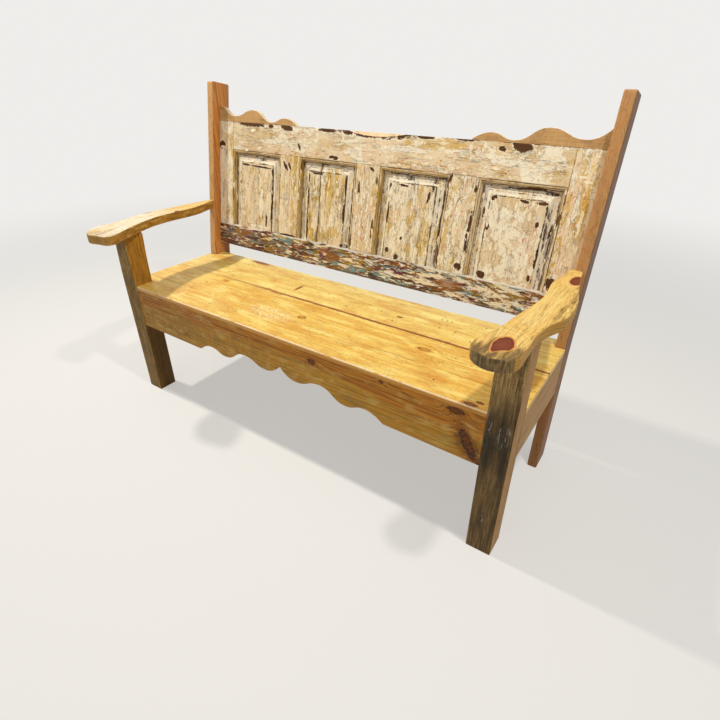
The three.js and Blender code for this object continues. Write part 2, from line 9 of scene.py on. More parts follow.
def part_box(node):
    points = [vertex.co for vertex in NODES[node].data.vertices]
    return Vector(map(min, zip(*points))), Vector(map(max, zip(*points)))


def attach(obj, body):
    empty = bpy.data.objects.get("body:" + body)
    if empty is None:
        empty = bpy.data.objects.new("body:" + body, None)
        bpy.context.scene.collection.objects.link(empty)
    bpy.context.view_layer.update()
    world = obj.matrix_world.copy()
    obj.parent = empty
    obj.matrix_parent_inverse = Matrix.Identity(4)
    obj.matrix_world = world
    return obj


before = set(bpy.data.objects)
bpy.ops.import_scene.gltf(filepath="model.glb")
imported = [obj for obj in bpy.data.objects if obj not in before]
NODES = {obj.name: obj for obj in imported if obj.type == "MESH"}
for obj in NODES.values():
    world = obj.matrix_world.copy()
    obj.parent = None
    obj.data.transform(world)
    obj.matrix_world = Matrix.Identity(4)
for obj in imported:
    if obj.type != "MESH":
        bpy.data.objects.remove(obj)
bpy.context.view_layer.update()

bl_info = {
    "name": "Bench from reclaimed timber",
    "version": (1, 0, 0),
    "blender": (4, 5, 0),
    "location": "View3D > Sidebar > Bench",
    "description": "Gives the packed bench its timber, paint, nails and paint flakes, and a plain stage",
    "category": "Object",
}

# Places worked out from the frame
LEG_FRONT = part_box("left_front_leg")[0].y
SEAT_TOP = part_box("seat_board_2")[1].z
DOOR_RAKE = math.radians(9.9)
DOOR_THICKNESS = 0.034
STILE_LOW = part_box("door_left_stile")[0]
DOOR_FOOT = Vector((0, STILE_LOW.y, STILE_LOW.z + DOOR_THICKNESS * math.sin(DOOR_RAKE)))
INTO_DOOR = Vector((0, math.cos(DOOR_RAKE), -math.sin(DOOR_RAKE)))
UP_DOOR = Vector((0, math.sin(DOOR_RAKE), math.cos(DOOR_RAKE)))
DOOR_TOP = (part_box("door_left_stile")[1].z - DOOR_FOOT.z) / UP_DOOR.z
OPENING_COUNT = 4
MM = 1000
SIDES = (("left", -1), ("right", 1))

# Half depth in millimetres of a spot that goes right through its board
ENDLESS = 1e6

# Least half width and half height of a mark on the door, and a mark that no board has, in millimetres
LEAST_HALF_X = 4.5
LEAST_HALF_UP = 3.4
OFF_THE_DOOR = (5000, 5000, 1, 1)

# Colours without a setting, and the stage's sizes
IRON_COLOUR = (0.008, 0.006, 0.005, 1)
RUST_COLOUR = (0.03, 0.014, 0.008, 1)
GROUND_COLOUR = (0.86, 0.85, 0.83, 1)
FLOOR_HALF = 60
SENSOR_WIDTH = 36


def opening(number):
    """Left, right and top of a panel's opening on the door's face, in metres."""
    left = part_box(f"panel_{number}_left_moulding")[0].x
    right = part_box(f"panel_{number}_right_moulding")[1].x
    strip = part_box(f"panel_{number}_top_moulding")
    return left, right, (strip[1].z - DOOR_FOOT.z) / UP_DOOR.z


def linear(code):
    """Linear red, green and blue of a colour written as six hex digits."""
    parts = [int(code[i:i + 2], 16) / 255 for i in (0, 2, 4)]
    return [c / 12.92 if c <= 0.04045 else ((c + 0.055) / 1.055) ** 2.4 for c in parts]


def shade(label, text, code):
    """A colour that a user can change."""
    return bpy.props.FloatVectorProperty(
        name=label, description=text, subtype="COLOR", size=3, min=0, max=1, default=linear(code)
    )


def amount(label, text, value, **settings):
    """A number that a user can change."""
    return bpy.props.FloatProperty(name=label, description=text, default=value, **settings)


class BenchColours(bpy.types.PropertyGroup):
    """Colours of the bench's timbers and coats of paint."""

    seat_pale: shade("Seat, early wood", "Pale yellow of the waxed seat boards", "e9c968")
    seat_gold: shade("Seat, late wood", "Gold of the seat's growth rings", "daa440")
    seat_streak: shade("Seat, streaks", "Brown of the seat's resin streaks", "a8642a")
    seat_light: shade("Seat, palest", "Palest parts of the seat boards", "efe08e")
    seam_red: shade("Seat, seam", "Red-brown edge along the seat's main seam", "8a3c12")
    heart: shade("Apron, heart", "Reddish heartwood of the apron", "c88024")
    heart_dark: shade("Apron, heart rings", "Dark rings of the apron's heartwood", "834a14")
    sap: shade("Apron, sapwood", "Yellow sapwood of the apron", "c69536")
    sap_dark: shade("Apron, sapwood rings", "Rings of the apron's sapwood", "966a1e")
    leg_grey: shade("Legs, weathered", "Grey-brown of the weathered faces", "765b33")
    leg_warm: shade("Legs, left face", "Warmer brown of the left leg's front face", "916c2c")
    leg_dark: shade("Legs, stained", "Dark stains in the weathered faces", "2e2416")
    leg_light: shade("Legs, rubbed", "Rubbed high spots of the weathered faces", "b08e58")
    leg_side: shade("Legs, side", "Tan of the sawn side faces", "c89a60")
    leg_gold: shade("Legs, inner face", "Gold of the left leg's inner face", "ba8630")
    post_tan: shade("Posts, tan", "Tan of the posts' faces", "c89f6a")
    post_orange: shade("Posts, orange", "Orange-brown stripes of the posts", "d98e46")
    post_brown: shade("Posts, brown", "Dark stripes of the posts", "84501f")
    arm_pale: shade("Arms, pale", "Pale worn wood of the arms", "e8cc80")
    arm_gold: shade("Arms, gold", "Gold rings of the arms", "d8a03c")
    arm_grey: shade("Arms, weathered", "Grey-brown of the noses and sides", "957234")
    arm_black: shade("Arms, grime", "Grime in the noses' grain", "43331d")
    knot_red: shade("Knots, red", "Red-brown of the large knots", "602008")
    knot_brown: shade("Knots, brown", "Dark brown of the other knots", "4a2410")
    knot_ember: shade("Knots, ember", "Brighter red of the large knots", "803812")
    # Pale top faces of the crest pieces, partly sawn wood and partly a painted highlight
    crest_tan: shade("Crest, tan", "Tan of the crest pieces", "d0a46c")
    crest_top_sawn_and_highlight: shade("Crest, sawn edge", "Bright sawn edges of the crest pieces", "f3dcb4")
    pink: shade("Paint, blush", "Pinkish part of the cream coat", "f2d6b6")
    cream: shade("Paint, cream", "Cream top coat", "f2e1bf")
    white: shade("Paint, white", "Whitest flakes of the top coat", "fbf3dc")
    tan: shade("Paint, tan", "Tan coat under the cream", "e0c59c")
    ochre: shade("Paint, ochre", "Ochre coat in the worn patches", "d8b040")
    olive: shade("Paint, olive", "Olive-brown coat in the deep patches", "94742f")
    bare: shade("Paint, bare wood", "Dark bare wood in the chips", "4c3421")
    pale_grey: shade("Paint, pale grey", "Chalky grey along the panels' margins", "ece6da")
    red: shade("Paint, red", "Red flecks of an older coat", "c8553a")
    blue: shade("Paint, blue-green", "Blue-green coat of the bottom rail", "6f918e")
    burgundy: shade("Paint, burgundy", "Burgundy coat of the bottom rail", "6a2638")
    rust: shade("Paint, rust", "Rust-coloured wood of the bottom rail", "8f5415")
    hollow: shade("Door, worn hollow", "Bare wood in the hollow of the door's top edge", "f0cca2")
    sawn: shade("Hidden wood", "Plain sawn wood under the seat", "b08a58")


class BenchDetails(bpy.types.PropertyGroup):
    """Sizes of the small pieces that the bench carries."""

    nail_radius: amount("Nail radius", "Radius of a nail's head", 0.0027, min=0.0005, unit="LENGTH")
    nail_rise: amount("Nail rise", "Height of a nail's head above the wood", 0.0003, min=0, unit="LENGTH")
    flake_count: bpy.props.IntProperty(
        name="Paint flakes", description="Places on the door that are tried for a flake", default=700, min=0
    )
    flake_thickness: amount("Flake thickness", "Thickness of standing paint", 0.0004, min=0, unit="LENGTH")


class BenchStage(bpy.types.PropertyGroup):
    """Camera, lamps and sky."""

    camera_right: amount("Camera, right", "How far right of the bench's middle it is", 0.9452, unit="LENGTH")
    camera_front: amount("Camera, front", "How far in front of the legs it is", 0.9153, unit="LENGTH")
    camera_height: amount("Camera, height", "Height above the floor", 1.1427, unit="LENGTH")
    camera_turn: amount("Camera, turn", "Turn to the left", math.radians(34.363), subtype="ANGLE")
    camera_dip: amount("Camera, dip", "How far it looks down", math.radians(30.934), subtype="ANGLE")
    camera_lens: amount("Camera, lens", "Focal length on a 36 mm sensor", 24.36, unit="CAMERA")
    sky_strength: amount("Sky", "Even light from all around", 0.31, min=0)
    key_power: amount("Key lamp", "Power of the lamp above the left side", 62, min=0, unit="POWER")
    side_power: amount("Side lamp", "Power of the lamp above the right side", 32, min=0, unit="POWER")
    front_power: amount("Front lamp", "Power of the lamp in front", 8, min=0, unit="POWER")


class Value:
    """An output of a node, or a fixed colour. Sums with it add nodes; a | b is the larger and a & b the
    smaller of two."""

    def __init__(self, tree, source):
        self.tree = tree
        self.source = source

    def __add__(self, other):
        return self.tree.maths("ADD", self, other)

    __radd__ = __add__

    def __sub__(self, other):
        return self.tree.maths("SUBTRACT", self, other)

    def __rsub__(self, other):
        return self.tree.maths("SUBTRACT", other, self)

    def __mul__(self, other):
        return self.tree.maths("MULTIPLY", self, other)

    def __truediv__(self, other):
        return self.tree.maths("DIVIDE", self, other)

    def __or__(self, other):
        return self.tree.maths("MAXIMUM", self, other)

    def __and__(self, other):
        return self.tree.maths("MINIMUM", self, other)

    def __abs__(self):
        return self.tree.maths("ABSOLUTE", self)

    def band(self, low, high):
        """0 at low and 1 at high, smooth between; low may be the larger."""
        if low > high:
            return 1 - self.band(high, low)
        ends = {"Value": self, "From Min": low, "From Max": high}
        return self.tree.add("MapRange", ends, interpolation_type="SMOOTHSTEP")

    def thread(self, middle, half):
        """1 on a thin line where the value crosses middle, and 0 away from it."""
        return (abs(self - middle) / half).band(1, 0.35)

    def coat(self, paint, amount):
        """This colour with another, given by name or as a value, laid over it; 1 hides this one."""
        above = self.tree.tint(paint) if isinstance(paint, str) else paint
        return self.tree.add("Mix", {0: amount, 6: self, 7: above}, 2, data_type="RGBA")


class Tree:
    """A node tree that is filled in step by step."""

    def __init__(self, owner):
        self.owner = owner
        owner.use_nodes = True
        owner.node_tree.nodes.clear()

    def add(self, kind, inputs, output=0, **settings):
        """One output of a new node whose inputs are linked or set."""
        node = self.owner.node_tree.nodes.new("ShaderNode" + kind)
        for key, value in settings.items():
            setattr(node, key, value)
        for key, value in inputs.items():
            if isinstance(value, Value):
                value = value.source
            if isinstance(value, bpy.types.NodeSocket):
                self.owner.node_tree.links.new(value, node.inputs[key])
            else:
                node.inputs[key].default_value = value
        return Value(self, node.outputs[output]) if node.outputs else None

    def maths(self, operation, *values):
        return self.add("Math", dict(enumerate(values)), operation=operation)

    def seen(self):
        """1 for what the camera sees, straight or in a glossy face, and 0 for light on its way elsewhere."""
        return self.add("LightPath", {}, "Is Camera Ray") | self.add("LightPath", {}, "Is Glossy Ray")


class Finish(Tree):
    """The material of one piece, in millimetres along its grain, across it and into it."""

    def __init__(self, name, order, seed=0, on_door=False):
        super().__init__(bpy.data.materials.new(name))
        self.seed = seed
        self.level = order[0] == "X"
        if on_door:
            start, turned = Matrix.Rotation(DOOR_RAKE, 3, "X") @ DOOR_FOOT * -MM, (DOOR_RAKE, 0, 0)
        else:
            start, turned = Vector((0, -LEG_FRONT * MM, 0)), (0, 0, 0)
        spread = self.add("Mapping", {
            "Vector": self.add("TexCoord", {}, "Object"), "Location": start, "Rotation": turned,
            "Scale": (MM, MM, MM),
        })
        self.along, self.across, self.depth = (
            self.add("SeparateXYZ", {0: spread}, "XYZ".index(letter)) for letter in order
        )
        self.place = self.add("CombineXYZ", {0: self.along, 1: self.across, 2: self.depth})

    def tint(self, name):
        """One of the bench's colours."""
        return Value(self, (*getattr(bpy.context.scene.bench_colours, name), 1))

    def shifted(self, scale, shift):
        return self.add("VectorMath", {0: self.place, 1: scale, 2: shift}, operation="MULTIPLY_ADD")

    def cloud(self, along, across, seed, detail=3, rough=0.5, swirl=0, depth=None):
        """Cloudy value from 0 to 1, of clouds so long, so wide and so deep."""
        scale = (1 / along, 1 / across, 1 / (depth or across))
        return self.add("TexNoise", {
            "Vector": self.shifted(scale, (seed * 3.7 + self.seed, seed * 9.1, seed * 5.3)),
            "Scale": 1, "Detail": detail, "Roughness": rough, "Distortion": swirl,
        })

    def cells(self, along, across, seed):
        """Value from -0.5 to 0.5 that is the same over each small cell with straight borders."""
        place = self.shifted((1 / along, 1 / across, 1 / across), (seed * 2.3 + self.seed, seed * 7.1, seed))
        cell = self.add("TexVoronoi", {"Vector": place, "Scale": 1}, "Color")
        return self.add("SeparateColor", {0: cell}) - 0.5

    def line(self, value):
        """Cloudy value from 0 to 1 along one value."""
        noise = {"W": value, "Scale": 1, "Detail": 2, "Roughness": 0.5}
        return self.add("TexNoise", noise, noise_dimensions="1D")

    def away(self, along, across, half_along, half_across, tilt=0):
        """Squared distance from a spot's middle, which is 1 at its rim."""
        offset = self.add("Mapping", {
            "Vector": self.place, "Location": (along, across, 0), "Rotation": (0, 0, tilt),
            "Scale": (half_along, half_across, ENDLESS),
        }, vector_type="TEXTURE")
        return self.add("VectorMath", {0: offset, 1: offset}, "Value", operation="DOT_PRODUCT")

    def nearest(self, spots):
        """Squared distance from the nearest of many spots."""
        made = self.away(*spots[0])
        for spot in spots[1:]:
            made = made & self.away(*spot)
        return made

    def facing(self, direction, low=0.5, high=0.8):
        """1 where the surface faces a direction."""
        ends = {0: self.add("TexCoord", {}, "Normal"), 1: direction}
        return self.add("VectorMath", ends, "Value", operation="DOT_PRODUCT").band(low, high)

    def rings(self, pith, spacing, wander, knots=(), lift=9):
        """Value from 0 to 1 across the growth rings, which bend round the knots."""
        across, depth = self.across - pith[0], self.depth - pith[1]
        field = self.maths("SQRT", across * across + depth * depth)
        field += (self.cloud(950, 75, 1.3, 2) - 0.5) * (2 * wander)
        field += (self.cloud(170, 22, 2.1, 2) - 0.5) * (0.35 * wander)
        for along, middle, half_along, half_across, *tilt in knots:
            near = self.away(along, middle, 1.7 * half_along, 1.7 * half_across, *tilt)
            field += self.maths("EXPONENT", near * -1) * (lift + half_across)
        return self.line(field / spacing)

    def fibres(self, width=1.1):
        """Fine lines along the grain."""
        return self.cloud(70 * width, width, 4.4, 4, 0.6)

    def knotted(self, colour, knots, core, rim, dark):
        """A wood colour with knots in it."""
        near = self.nearest(knots) + self.cloud(14, 9, 6.6) * 1.1 - 0.55
        inside = core.coat(rim, self.line(near * 7).band(0.4, 0.6))
        colour = colour.coat(rim, near.band(3.4, 0.9) * 0.45)
        colour = colour.coat(inside, near.band(1.05, 0.8))
        return colour.coat(dark, near.thread(1, 0.3) * self.cloud(12, 9, 6.9).band(0.4, 0.55) * 0.8)

    def done(self, colour, roughness, height, relief, shine=0.35):
        """Ends the tree; relief is the height's range in millimetres."""
        bump = self.add("Bump", {"Height": height, "Distance": relief / MM, "Strength": 1})
        shader = self.add("BsdfPrincipled", {
            "Base Color": colour, "Roughness": roughness, "Normal": bump, "Specular IOR Level": shine,
        })
        self.add("OutputMaterial", {"Surface": shader})
        return self.owner


def dress(node, material):
    """Gives a CAD node its finish."""
    slots = NODES[node].material_slots
    if not slots:
        raise RuntimeError(f"{node} has no material slot")
    for place in slots:
        place.material = material


# Knots of each seat board: right of the middle, back from the legs' faces, half length and half width,
# in millimetres
SEAT_KNOTS = {
    1: [(630, 12, 17, 7), (648, 30, 9, 5)],
    2: [(-10, 149, 15, 10), (416, 185, 20, 9), (-452, 230, 12, 5)],
    3: [(250, 328, 9, 5), (-176, 330, 5, 22)],
    4: [(-478, 445, 38, 9), (600, 400, 7, 4)],
}

# Where each seat board's growth rings have their middle: back from the legs' faces, and up
SEAT_PITH = {1: (20, 390), 2: (205, 372), 3: (300, 398), 4: (455, 380)}


def seat_finish(number):
    """Waxed yellow pine with gold rings, brown streaks, scuffs, a dark seam and a painted highlight along the
    front edge.
    """
    wood = Finish(f"seat_pine_{number}", "XYZ", seed=number * 11.3)
    knots = SEAT_KNOTS[number]
    rings = wood.rings(SEAT_PITH[number], 6, 30, knots)
    blotch = wood.cloud(120, 30, 3, 5, 0.6, 0.3)
    colour = wood.tint("seat_pale").coat("seat_gold", rings.band(0.36, 0.7) * 0.7)
    colour = colour.coat("seat_gold", blotch.band(0.5, 0.66) * 0.6)
    colour = colour.coat("seat_gold", wood.cloud(34, 5, 3.5, 5, 0.68).band(0.54, 0.68) * 0.4)
    light = 0.6 if number < 3 else 0.9
    if number > 2:
        colour = colour.coat("seat_light", 0.3)
    colour = colour.coat("seat_light", blotch.band(0.5, 0.34) * light)
    colour = colour.coat("heart", wood.cloud(130, 60, 4.1, 4).band(0.52, 0.66) * 0.35)
    streaks = wood.cloud(170, 6, 5.2, 5, 0.62).band(0.54, 0.7) * blotch.band(0.34, 0.56)
    colour = colour.coat("seat_streak", streaks * 0.5)
    wisps = wood.cloud(26, 2.2, 6.1, 4, 0.65).band(0.54, 0.66) * blotch.band(0.36, 0.56)
    colour = colour.coat("seat_streak", wisps * 0.5)
    lines = wood.fibres().band(0.56, 0.7)
    colour = colour.coat("seat_streak", lines * 0.25)
    specks = wood.cloud(9, 2.8, 7.7, 2).band(0.655, 0.69) | wood.cloud(24, 2, 7.1).band(0.66, 0.7)
    colour = colour.coat("knot_brown", specks * 0.8)
    core = wood.tint("seat_streak").coat("knot_brown", 0.45 if number == 2 else 1)
    rim = "seat_gold" if number == 2 else "seat_streak"
    colour = wood.knotted(colour, knots, core, rim, "knot_brown")
    seam = wood.across.thread(256, wood.cloud(40, 300, 8.1, 4, 0.6) * 20 - 1.5)
    seam = seam * (wood.along.band(-650, -80) * 0.7 + 0.2)
    faint = wood.across.thread(113, 2.6) | wood.across.thread(360, 3)
    faint = faint * wood.cloud(90, 300, 8.7, 3).band(0.42, 0.6)
    colour = colour.coat("seat_streak", faint * 0.6).coat("seam_red", seam)
    worn = wood.away(-120, 110, 90, 46).band(1.6, 0) * wood.cloud(8, 4, 9.4, 4).band(0.55, 0.59)
    colour = colour.coat("white", worn * 0.8)
    if number == 1:
        edge = wood.facing((0, -1, 0), 0.45, 0.85) * wood.cloud(300, 60, 9.9).band(0.25, 0.45)
        colour = colour.coat("heart", edge * 0.7)
        # Painted highlight: a thin pale cream line along the rounded top of the front board's front edge
        rubbing_and_highlight = wood.facing((0, -0.7, 0.7), 0.86, 0.95) * wood.cloud(50, 60, 9.1, 4).band(0.36, 0.48)
        colour = colour.coat("cream", rubbing_and_highlight * 0.8)
    roughness = wood.cloud(60, 25, 10.5) * 0.3 + 0.26
    height = rings * 0.35 - lines * 0.5 - (specks | seam) * 0.8
    return wood.done(colour, roughness, height, 0.35, 0.4)


# The apron's knots: right of the middle, up from the floor, half length, half width and a turn
APRON_KNOTS = [
    (146, 412, 14, 9), (385, 431, 7, 4), (600, 428, 22, 9), (640, 340, 44, 13, -1.05),
    (668, 300, 14, 5, -0.7), (-430, 330, 5, 4),
]


def apron_finish():
    """Red-brown heartwood above yellow sapwood, with a cluster of knots at the right."""
    wood = Finish("apron_pine", "XZY", seed=4.2)
    rings = wood.rings((520, -70), 7, 26, APRON_KNOTS, 14)
    border = wood.cloud(520, 400, 3.1, 2) * 90 + 350 - wood.along.band(200, 640) * 34
    heart = (wood.across - border).band(-3, 7)
    ring = rings.band(0.38, 0.66)
    red = wood.tint("heart").coat("heart_dark", ring * 0.8)
    red = red.coat("seat_gold", wood.cloud(160, 5, 4.4, 5, 0.62).band(0.5, 0.64) * 0.65)
    yellow = wood.tint("sap").coat("sap_dark", ring * 0.7)
    yellow = yellow.coat("heart", wood.cloud(60, 16, 5.2, 5, 0.65).band(0.46, 0.62) * 0.45)
    yellow = yellow.coat("heart_dark", wood.nearest([(640, 342, 70, 34, -1.05)]).band(1.6, 0.4) * 0.6)
    colour = yellow.coat(red, heart)
    waves = wood.cloud(5.5, 60, 5.9, 3).band(0.46, 0.56) * (1 - heart) * wood.along.band(260, -260)
    # The second coat makes the apron darker towards its left end
    colour = colour.coat("leg_grey", waves * 0.28).coat("leg_dark", wood.along.band(-200, -520) * 0.16)
    lines = wood.fibres().band(0.53, 0.68)
    colour = colour.coat("heart_dark", lines * 0.4)
    colour = colour.coat("leg_grey", wood.cloud(90, 22, 7.3, 5, 0.66).band(0.5, 0.68) * 0.45)
    colour = colour.coat("arm_pale", wood.cloud(56, 20, 7.6, 5, 0.62).band(0.5, 0.68) * 0.32)
    colour = colour.coat("leg_dark", wood.cloud(5, 2.5, 7.9, 2).band(0.72, 0.76) * 0.6)
    colour = wood.knotted(colour, APRON_KNOTS, wood.tint("knot_brown"), "heart_dark", "leg_dark")
    cracks = wood.cloud(34, 26, 8.8, 3, 0.6, 1.2).thread(0.5, 0.03)
    cracks = cracks * wood.nearest(APRON_KNOTS[3:5]).band(6, 0.6)
    colour = colour.coat("leg_dark", cracks * 0.85)
    roughness = wood.cloud(80, 30, 10.5) * 0.25 + 0.4
    height = rings * 0.4 - (lines * 0.4 | cracks)
    return wood.done(colour, roughness, height, 0.5, 0.2)


def leg_finish(word, sign):
    """Weathered front face with stains and rubs, and plainer sawn sides; the left leg's inner face carries
    painted shade low down and painted light higher up.
    """
    wood = Finish(f"{word}_leg_timber", "ZXY", seed=30 + sign * 6)
    ring = wood.rings((sign * 690, 95), 5, 14).band(0.4, 0.62)
    lines = wood.fibres(1.3).band(0.46, 0.64)
    front = wood.facing((0, -1, 0))
    grain = wood.cloud(60, 2.6, 2.2, 5, 0.65)
    face_name = "leg_grey" if sign > 0 else "leg_warm"
    base = wood.tint(face_name).coat("leg_light", grain.band(0.42, 0.64) * 0.6)
    high = wood.along.band(440, 560)
    haze = wood.cloud(150, 34, 4.9, 3, 0.5)
    if sign > 0:
        base = base.coat("leg_light", high * 0.9)
        soiled = wood.along.band(540, 440) * wood.along.band(230, 340) * 0.12 + 0.06
        soiled = high * -0.2 + (high * wood.across.band(700, 738) * 0.16 + soiled)
    else:
        soiled = -0.08
    base = base.coat("leg_dark", (haze + grain * 0.3 + soiled - 0.15).band(0.42, 0.84) * 0.92)
    torn = wood.cloud(90, 3.4, 3.9, 5, 0.7).band(0.52, 0.62)
    base = base.coat("leg_dark", torn * (0.6 if sign > 0 else 0.3))
    mottle = wood.cloud(46, 13, 3.6, 5, 0.68).band(0.47, 0.62)
    base = base.coat("leg_dark", mottle * (0.2 if sign > 0 else 0.4))
    base = base.coat("arm_pale", wood.cloud(70, 3, 3.3, 5, 0.7).band(0.52, 0.62) * (high * 0.7 + 0.12))
    side_name = "leg_side" if sign > 0 else "leg_gold"
    side = wood.tint(side_name).coat("heart", ring * 0.25)
    if sign < 0:
        # Painted shade and light: the left leg's inner face darkens towards the bottom, under the seat, and
        # gets brighter gold patches higher up; the mottle coat is real dark mottling
        side = side.coat("leg_dark", wood.along.band(340, 260) * 0.7).coat("leg_dark", mottle * 0.35)
        painted_light_patches = wood.cloud(70, 24, 3.8, 4, 0.6, 0, 24).band(0.5, 0.64)
        side = side.coat("arm_gold", painted_light_patches * wood.along.band(260, 340) * 0.3)
    colour = side.coat(base, front).coat("leg_dark", lines * 0.4)
    cracks = wood.cloud(420, 12, 6.1, 2).thread(0.5, 0.01) * wood.cloud(120, 30, 6.7).band(0.45, 0.6)
    colour = colour.coat("leg_dark", cracks * 0.8)
    colour = colour.coat("leg_dark", wood.cloud(2.4, 36, 8.8, 3, 0.6).band(0.52, 0.66) * front * 0.3)
    scuffs = wood.cloud(24, 6, 8.3, 6, 0.72).band(0.52, 0.6) * front
    rubs = wood.cloud(150, 30, 9.9).band(0.62, 0.7) | wood.away(405, 724, 40, 20).band(1.3, 0.2)
    colour = colour.coat("pale_grey", scuffs * rubs * 0.3)
    roughness = wood.cloud(90, 30, 10.5) * 0.3 + 0.42
    height = grain * 0.8 - lines * 0.7 - cracks
    return wood.done(colour, roughness, height, 0.8, 0.2)


def post_finish(word, sign):
    """Old softwood with long stripes; the left one's inner face is the reddest."""
    wood = Finish(f"{word}_post_timber", "ZYX", seed=50 + sign * 4)
    rings = wood.rings((230 if sign < 0 else 720, sign * 690), 5, 9)
    ring = rings.band(0.36, 0.66)
    lines = wood.fibres(1.2).band(0.52, 0.68)
    stripe = wood.cloud(1100, 3.4, 3.7, 4, 0.6).band(0.48, 0.64)
    plain = wood.tint("post_tan").coat("post_orange", ring * 0.3)
    striped = wood.tint("post_orange").coat("post_brown", stripe)
    striped = striped.coat("post_tan", wood.cloud(900, 5, 5.1, 3).band(0.5, 0.6) * 0.35)
    if sign < 0:
        colour = plain.coat(striped, wood.facing((1, 0, 0)))
    else:
        plain = plain.coat(striped.coat("post_brown", 0.5), 0.45)
        dull = wood.tint("post_brown").coat("leg_dark", wood.along.band(380, 450) * 0.4)
        colour = plain.coat(dull, wood.facing((1, 0, 0)) * 0.92)
    # Painted shade: the first coat darkens the posts below the seat's height
    colour = colour.coat("post_brown", wood.along.band(440, 360) * 0.6).coat("post_brown", lines * 0.3)
    colour = colour.coat("leg_grey", wood.cloud(150, 40, 7.9, 4).band(0.56, 0.74) * 0.3)
    cracks = wood.cloud(420, 16, 6.7, 2).thread(0.5, 0.005)
    colour = colour.coat("leg_dark", cracks * 0.7)
    roughness = wood.cloud(90, 30, 10.5) * 0.25 + 0.4
    height = rings * 0.4 - (lines * 0.6 | cracks)
    return wood.done(colour, roughness, height, 0.5, 0.35)


# The arms' knots: back from the legs' faces, right of the middle, half length and half width
ARM_KNOTS = {
    "left": [(250, -700, 10, 6)],
    "right": [(-63, 704, 39, 20), (372, 740, 34, 15)],
}

# Where each arm's nose ends, in front of the legs' faces
ARM_NOSE = {"left": -112, "right": -123}


def arm_finish(word, sign):
    """Worn yellow pine with red knots, weathered at the nose, with checked end grain."""
    wood = Finish(f"{word}_arm_timber", "YXZ", seed=70 + sign * 5)
    knots = ARM_KNOTS[word]
    rings = wood.rings((sign * 715, 560), 4, 7, knots, 16)
    ring = rings.band(0.36, 0.7)
    colour = wood.tint("arm_pale").coat("arm_gold", ring * 0.55)
    colour = colour.coat("arm_gold", wood.cloud(60, 3.2, 2.6, 5, 0.65).band(0.48, 0.64) * 0.5)
    threads = wood.cloud(130, 7, 2.9, 3, 0.55, 0.8).thread(0.5, 0.016)
    colour = colour.coat("arm_grey", threads * 0.6)
    lines = wood.fibres(1.2).band(0.5, 0.66)
    colour = colour.coat("arm_grey", lines * 0.4)
    colour = colour.coat("post_orange", wood.cloud(110, 9, 3.4, 5, 0.66).band(0.5, 0.68) * 0.25)
    nose = wood.along.band(ARM_NOSE[word] + 115, ARM_NOSE[word] + 10)
    grime = wood.cloud(60, 10, 5.5, 5, 0.68)
    outer = (wood.across * sign).band(738, 765)
    soot = 0.21 if word == "left" else 0.31
    grime = (nose | outer * 0.5) * soot + grime
    if word == "left":
        rubbing_and_highlight = wood.cloud(80, 12, 6.3, 5, 0.65).band(0.34, 0.5) * wood.along.band(330, 120)
        colour = colour.coat("pale_grey", rubbing_and_highlight * 0.7).coat("arm_grey", (lines | threads) * 0.4)
        grime = grime - 0.06
    top = wood.facing((0, 0, 1), 0.6, 0.9)
    colour = colour.coat("arm_grey", grime.band(0.56, 0.74) * 0.8)
    colour = colour.coat("arm_black", grime.band(0.69, 0.84) * 0.7)
    red = wood.nearest(knots)
    if word == "right":
        red = (wood.along * -1 - 70).band(0, 40) * wood.across.band(694, 716) * 3 + red
    red = red + wood.cloud(16, 9, 6.6) * 0.5 - 0.25
    colour = colour.coat("post_orange", red.band(1.45, 1.15) * 0.85)
    core = wood.tint("knot_red").coat("knot_ember", wood.line(red * 4).band(0.35, 0.65))
    core = core.coat("knot_brown", wood.cloud(15, 6, 6.4, 4, 0.6).band(0.44, 0.62) * 0.45)
    colour = colour.coat(core, red.band(1.05, 0.92))
    side = wood.tint("arm_gold").coat("arm_grey", ring * 0.6).coat("arm_black", lines * 0.6)
    if word == "left":
        side = side.coat("sap_dark", 0.6)
        blotch = wood.cloud(46, 26, 7.5, 5, 0.68, 0, 9)
        side = side.coat("arm_black", blotch.band(0.5, 0.62) * 0.5)
        side = side.coat("arm_pale", blotch.band(0.46, 0.36) * 0.5)
    colour = side.coat(colour, top)
    end = wood.facing((0, -1, 0), 0.35, 0.75)
    checks = wood.cloud(60, 2.6, 7.2, 4, 0.65, 0, 40).band(0.46, 0.62)
    grey = wood.tint("leg_light").coat("leg_grey", 0.35).coat("leg_dark", checks * 0.8)
    if word == "right":
        grey = grey.coat("arm_black", wood.cloud(60, 22, 7.8, 3).band(0.36, 0.62) * 0.5)
    else:
        grey = grey.coat("arm_gold", 0.45)
    colour = colour.coat(grey, end)
    cracks = wood.cloud(150, 11, 6.1, 3).thread(0.5, 0.012) * top * wood.cloud(60, 20, 6.8).band(0.52, 0.62)
    colour = colour.coat("arm_black", cracks * 0.55)
    roughness = wood.cloud(70, 25, 10.5) * 0.25 + 0.42
    height = rings * 0.35 - lines * 0.5 - (cracks | end * checks)
    return wood.done(colour, roughness, height, 0.6, 0.35)


def side_rail_finish(word, sign):
    """Greyed pine under a thin wax."""
    wood = Finish(f"{word}_side_rail_pine", "YZX", seed=90 + sign * 3)
    rings = wood.rings((330, sign * 660), 5, 16)
    colour = wood.tint("leg_side").coat("leg_grey", rings.band(0.42, 0.62) * 0.35)
    colour = colour.coat("leg_grey", wood.cloud(120, 30, 3.9, 4).band(0.5, 0.7) * 0.3)
    lines = wood.fibres(1.2).band(0.54, 0.68)
    colour = colour.coat("leg_dark", lines * 0.5)
    roughness = wood.cloud(90, 30, 10.5) * 0.2 + 0.5
    height = rings * 0.4 - lines * 0.6
    return wood.done(colour, roughness, height, 0.5, 0.3)


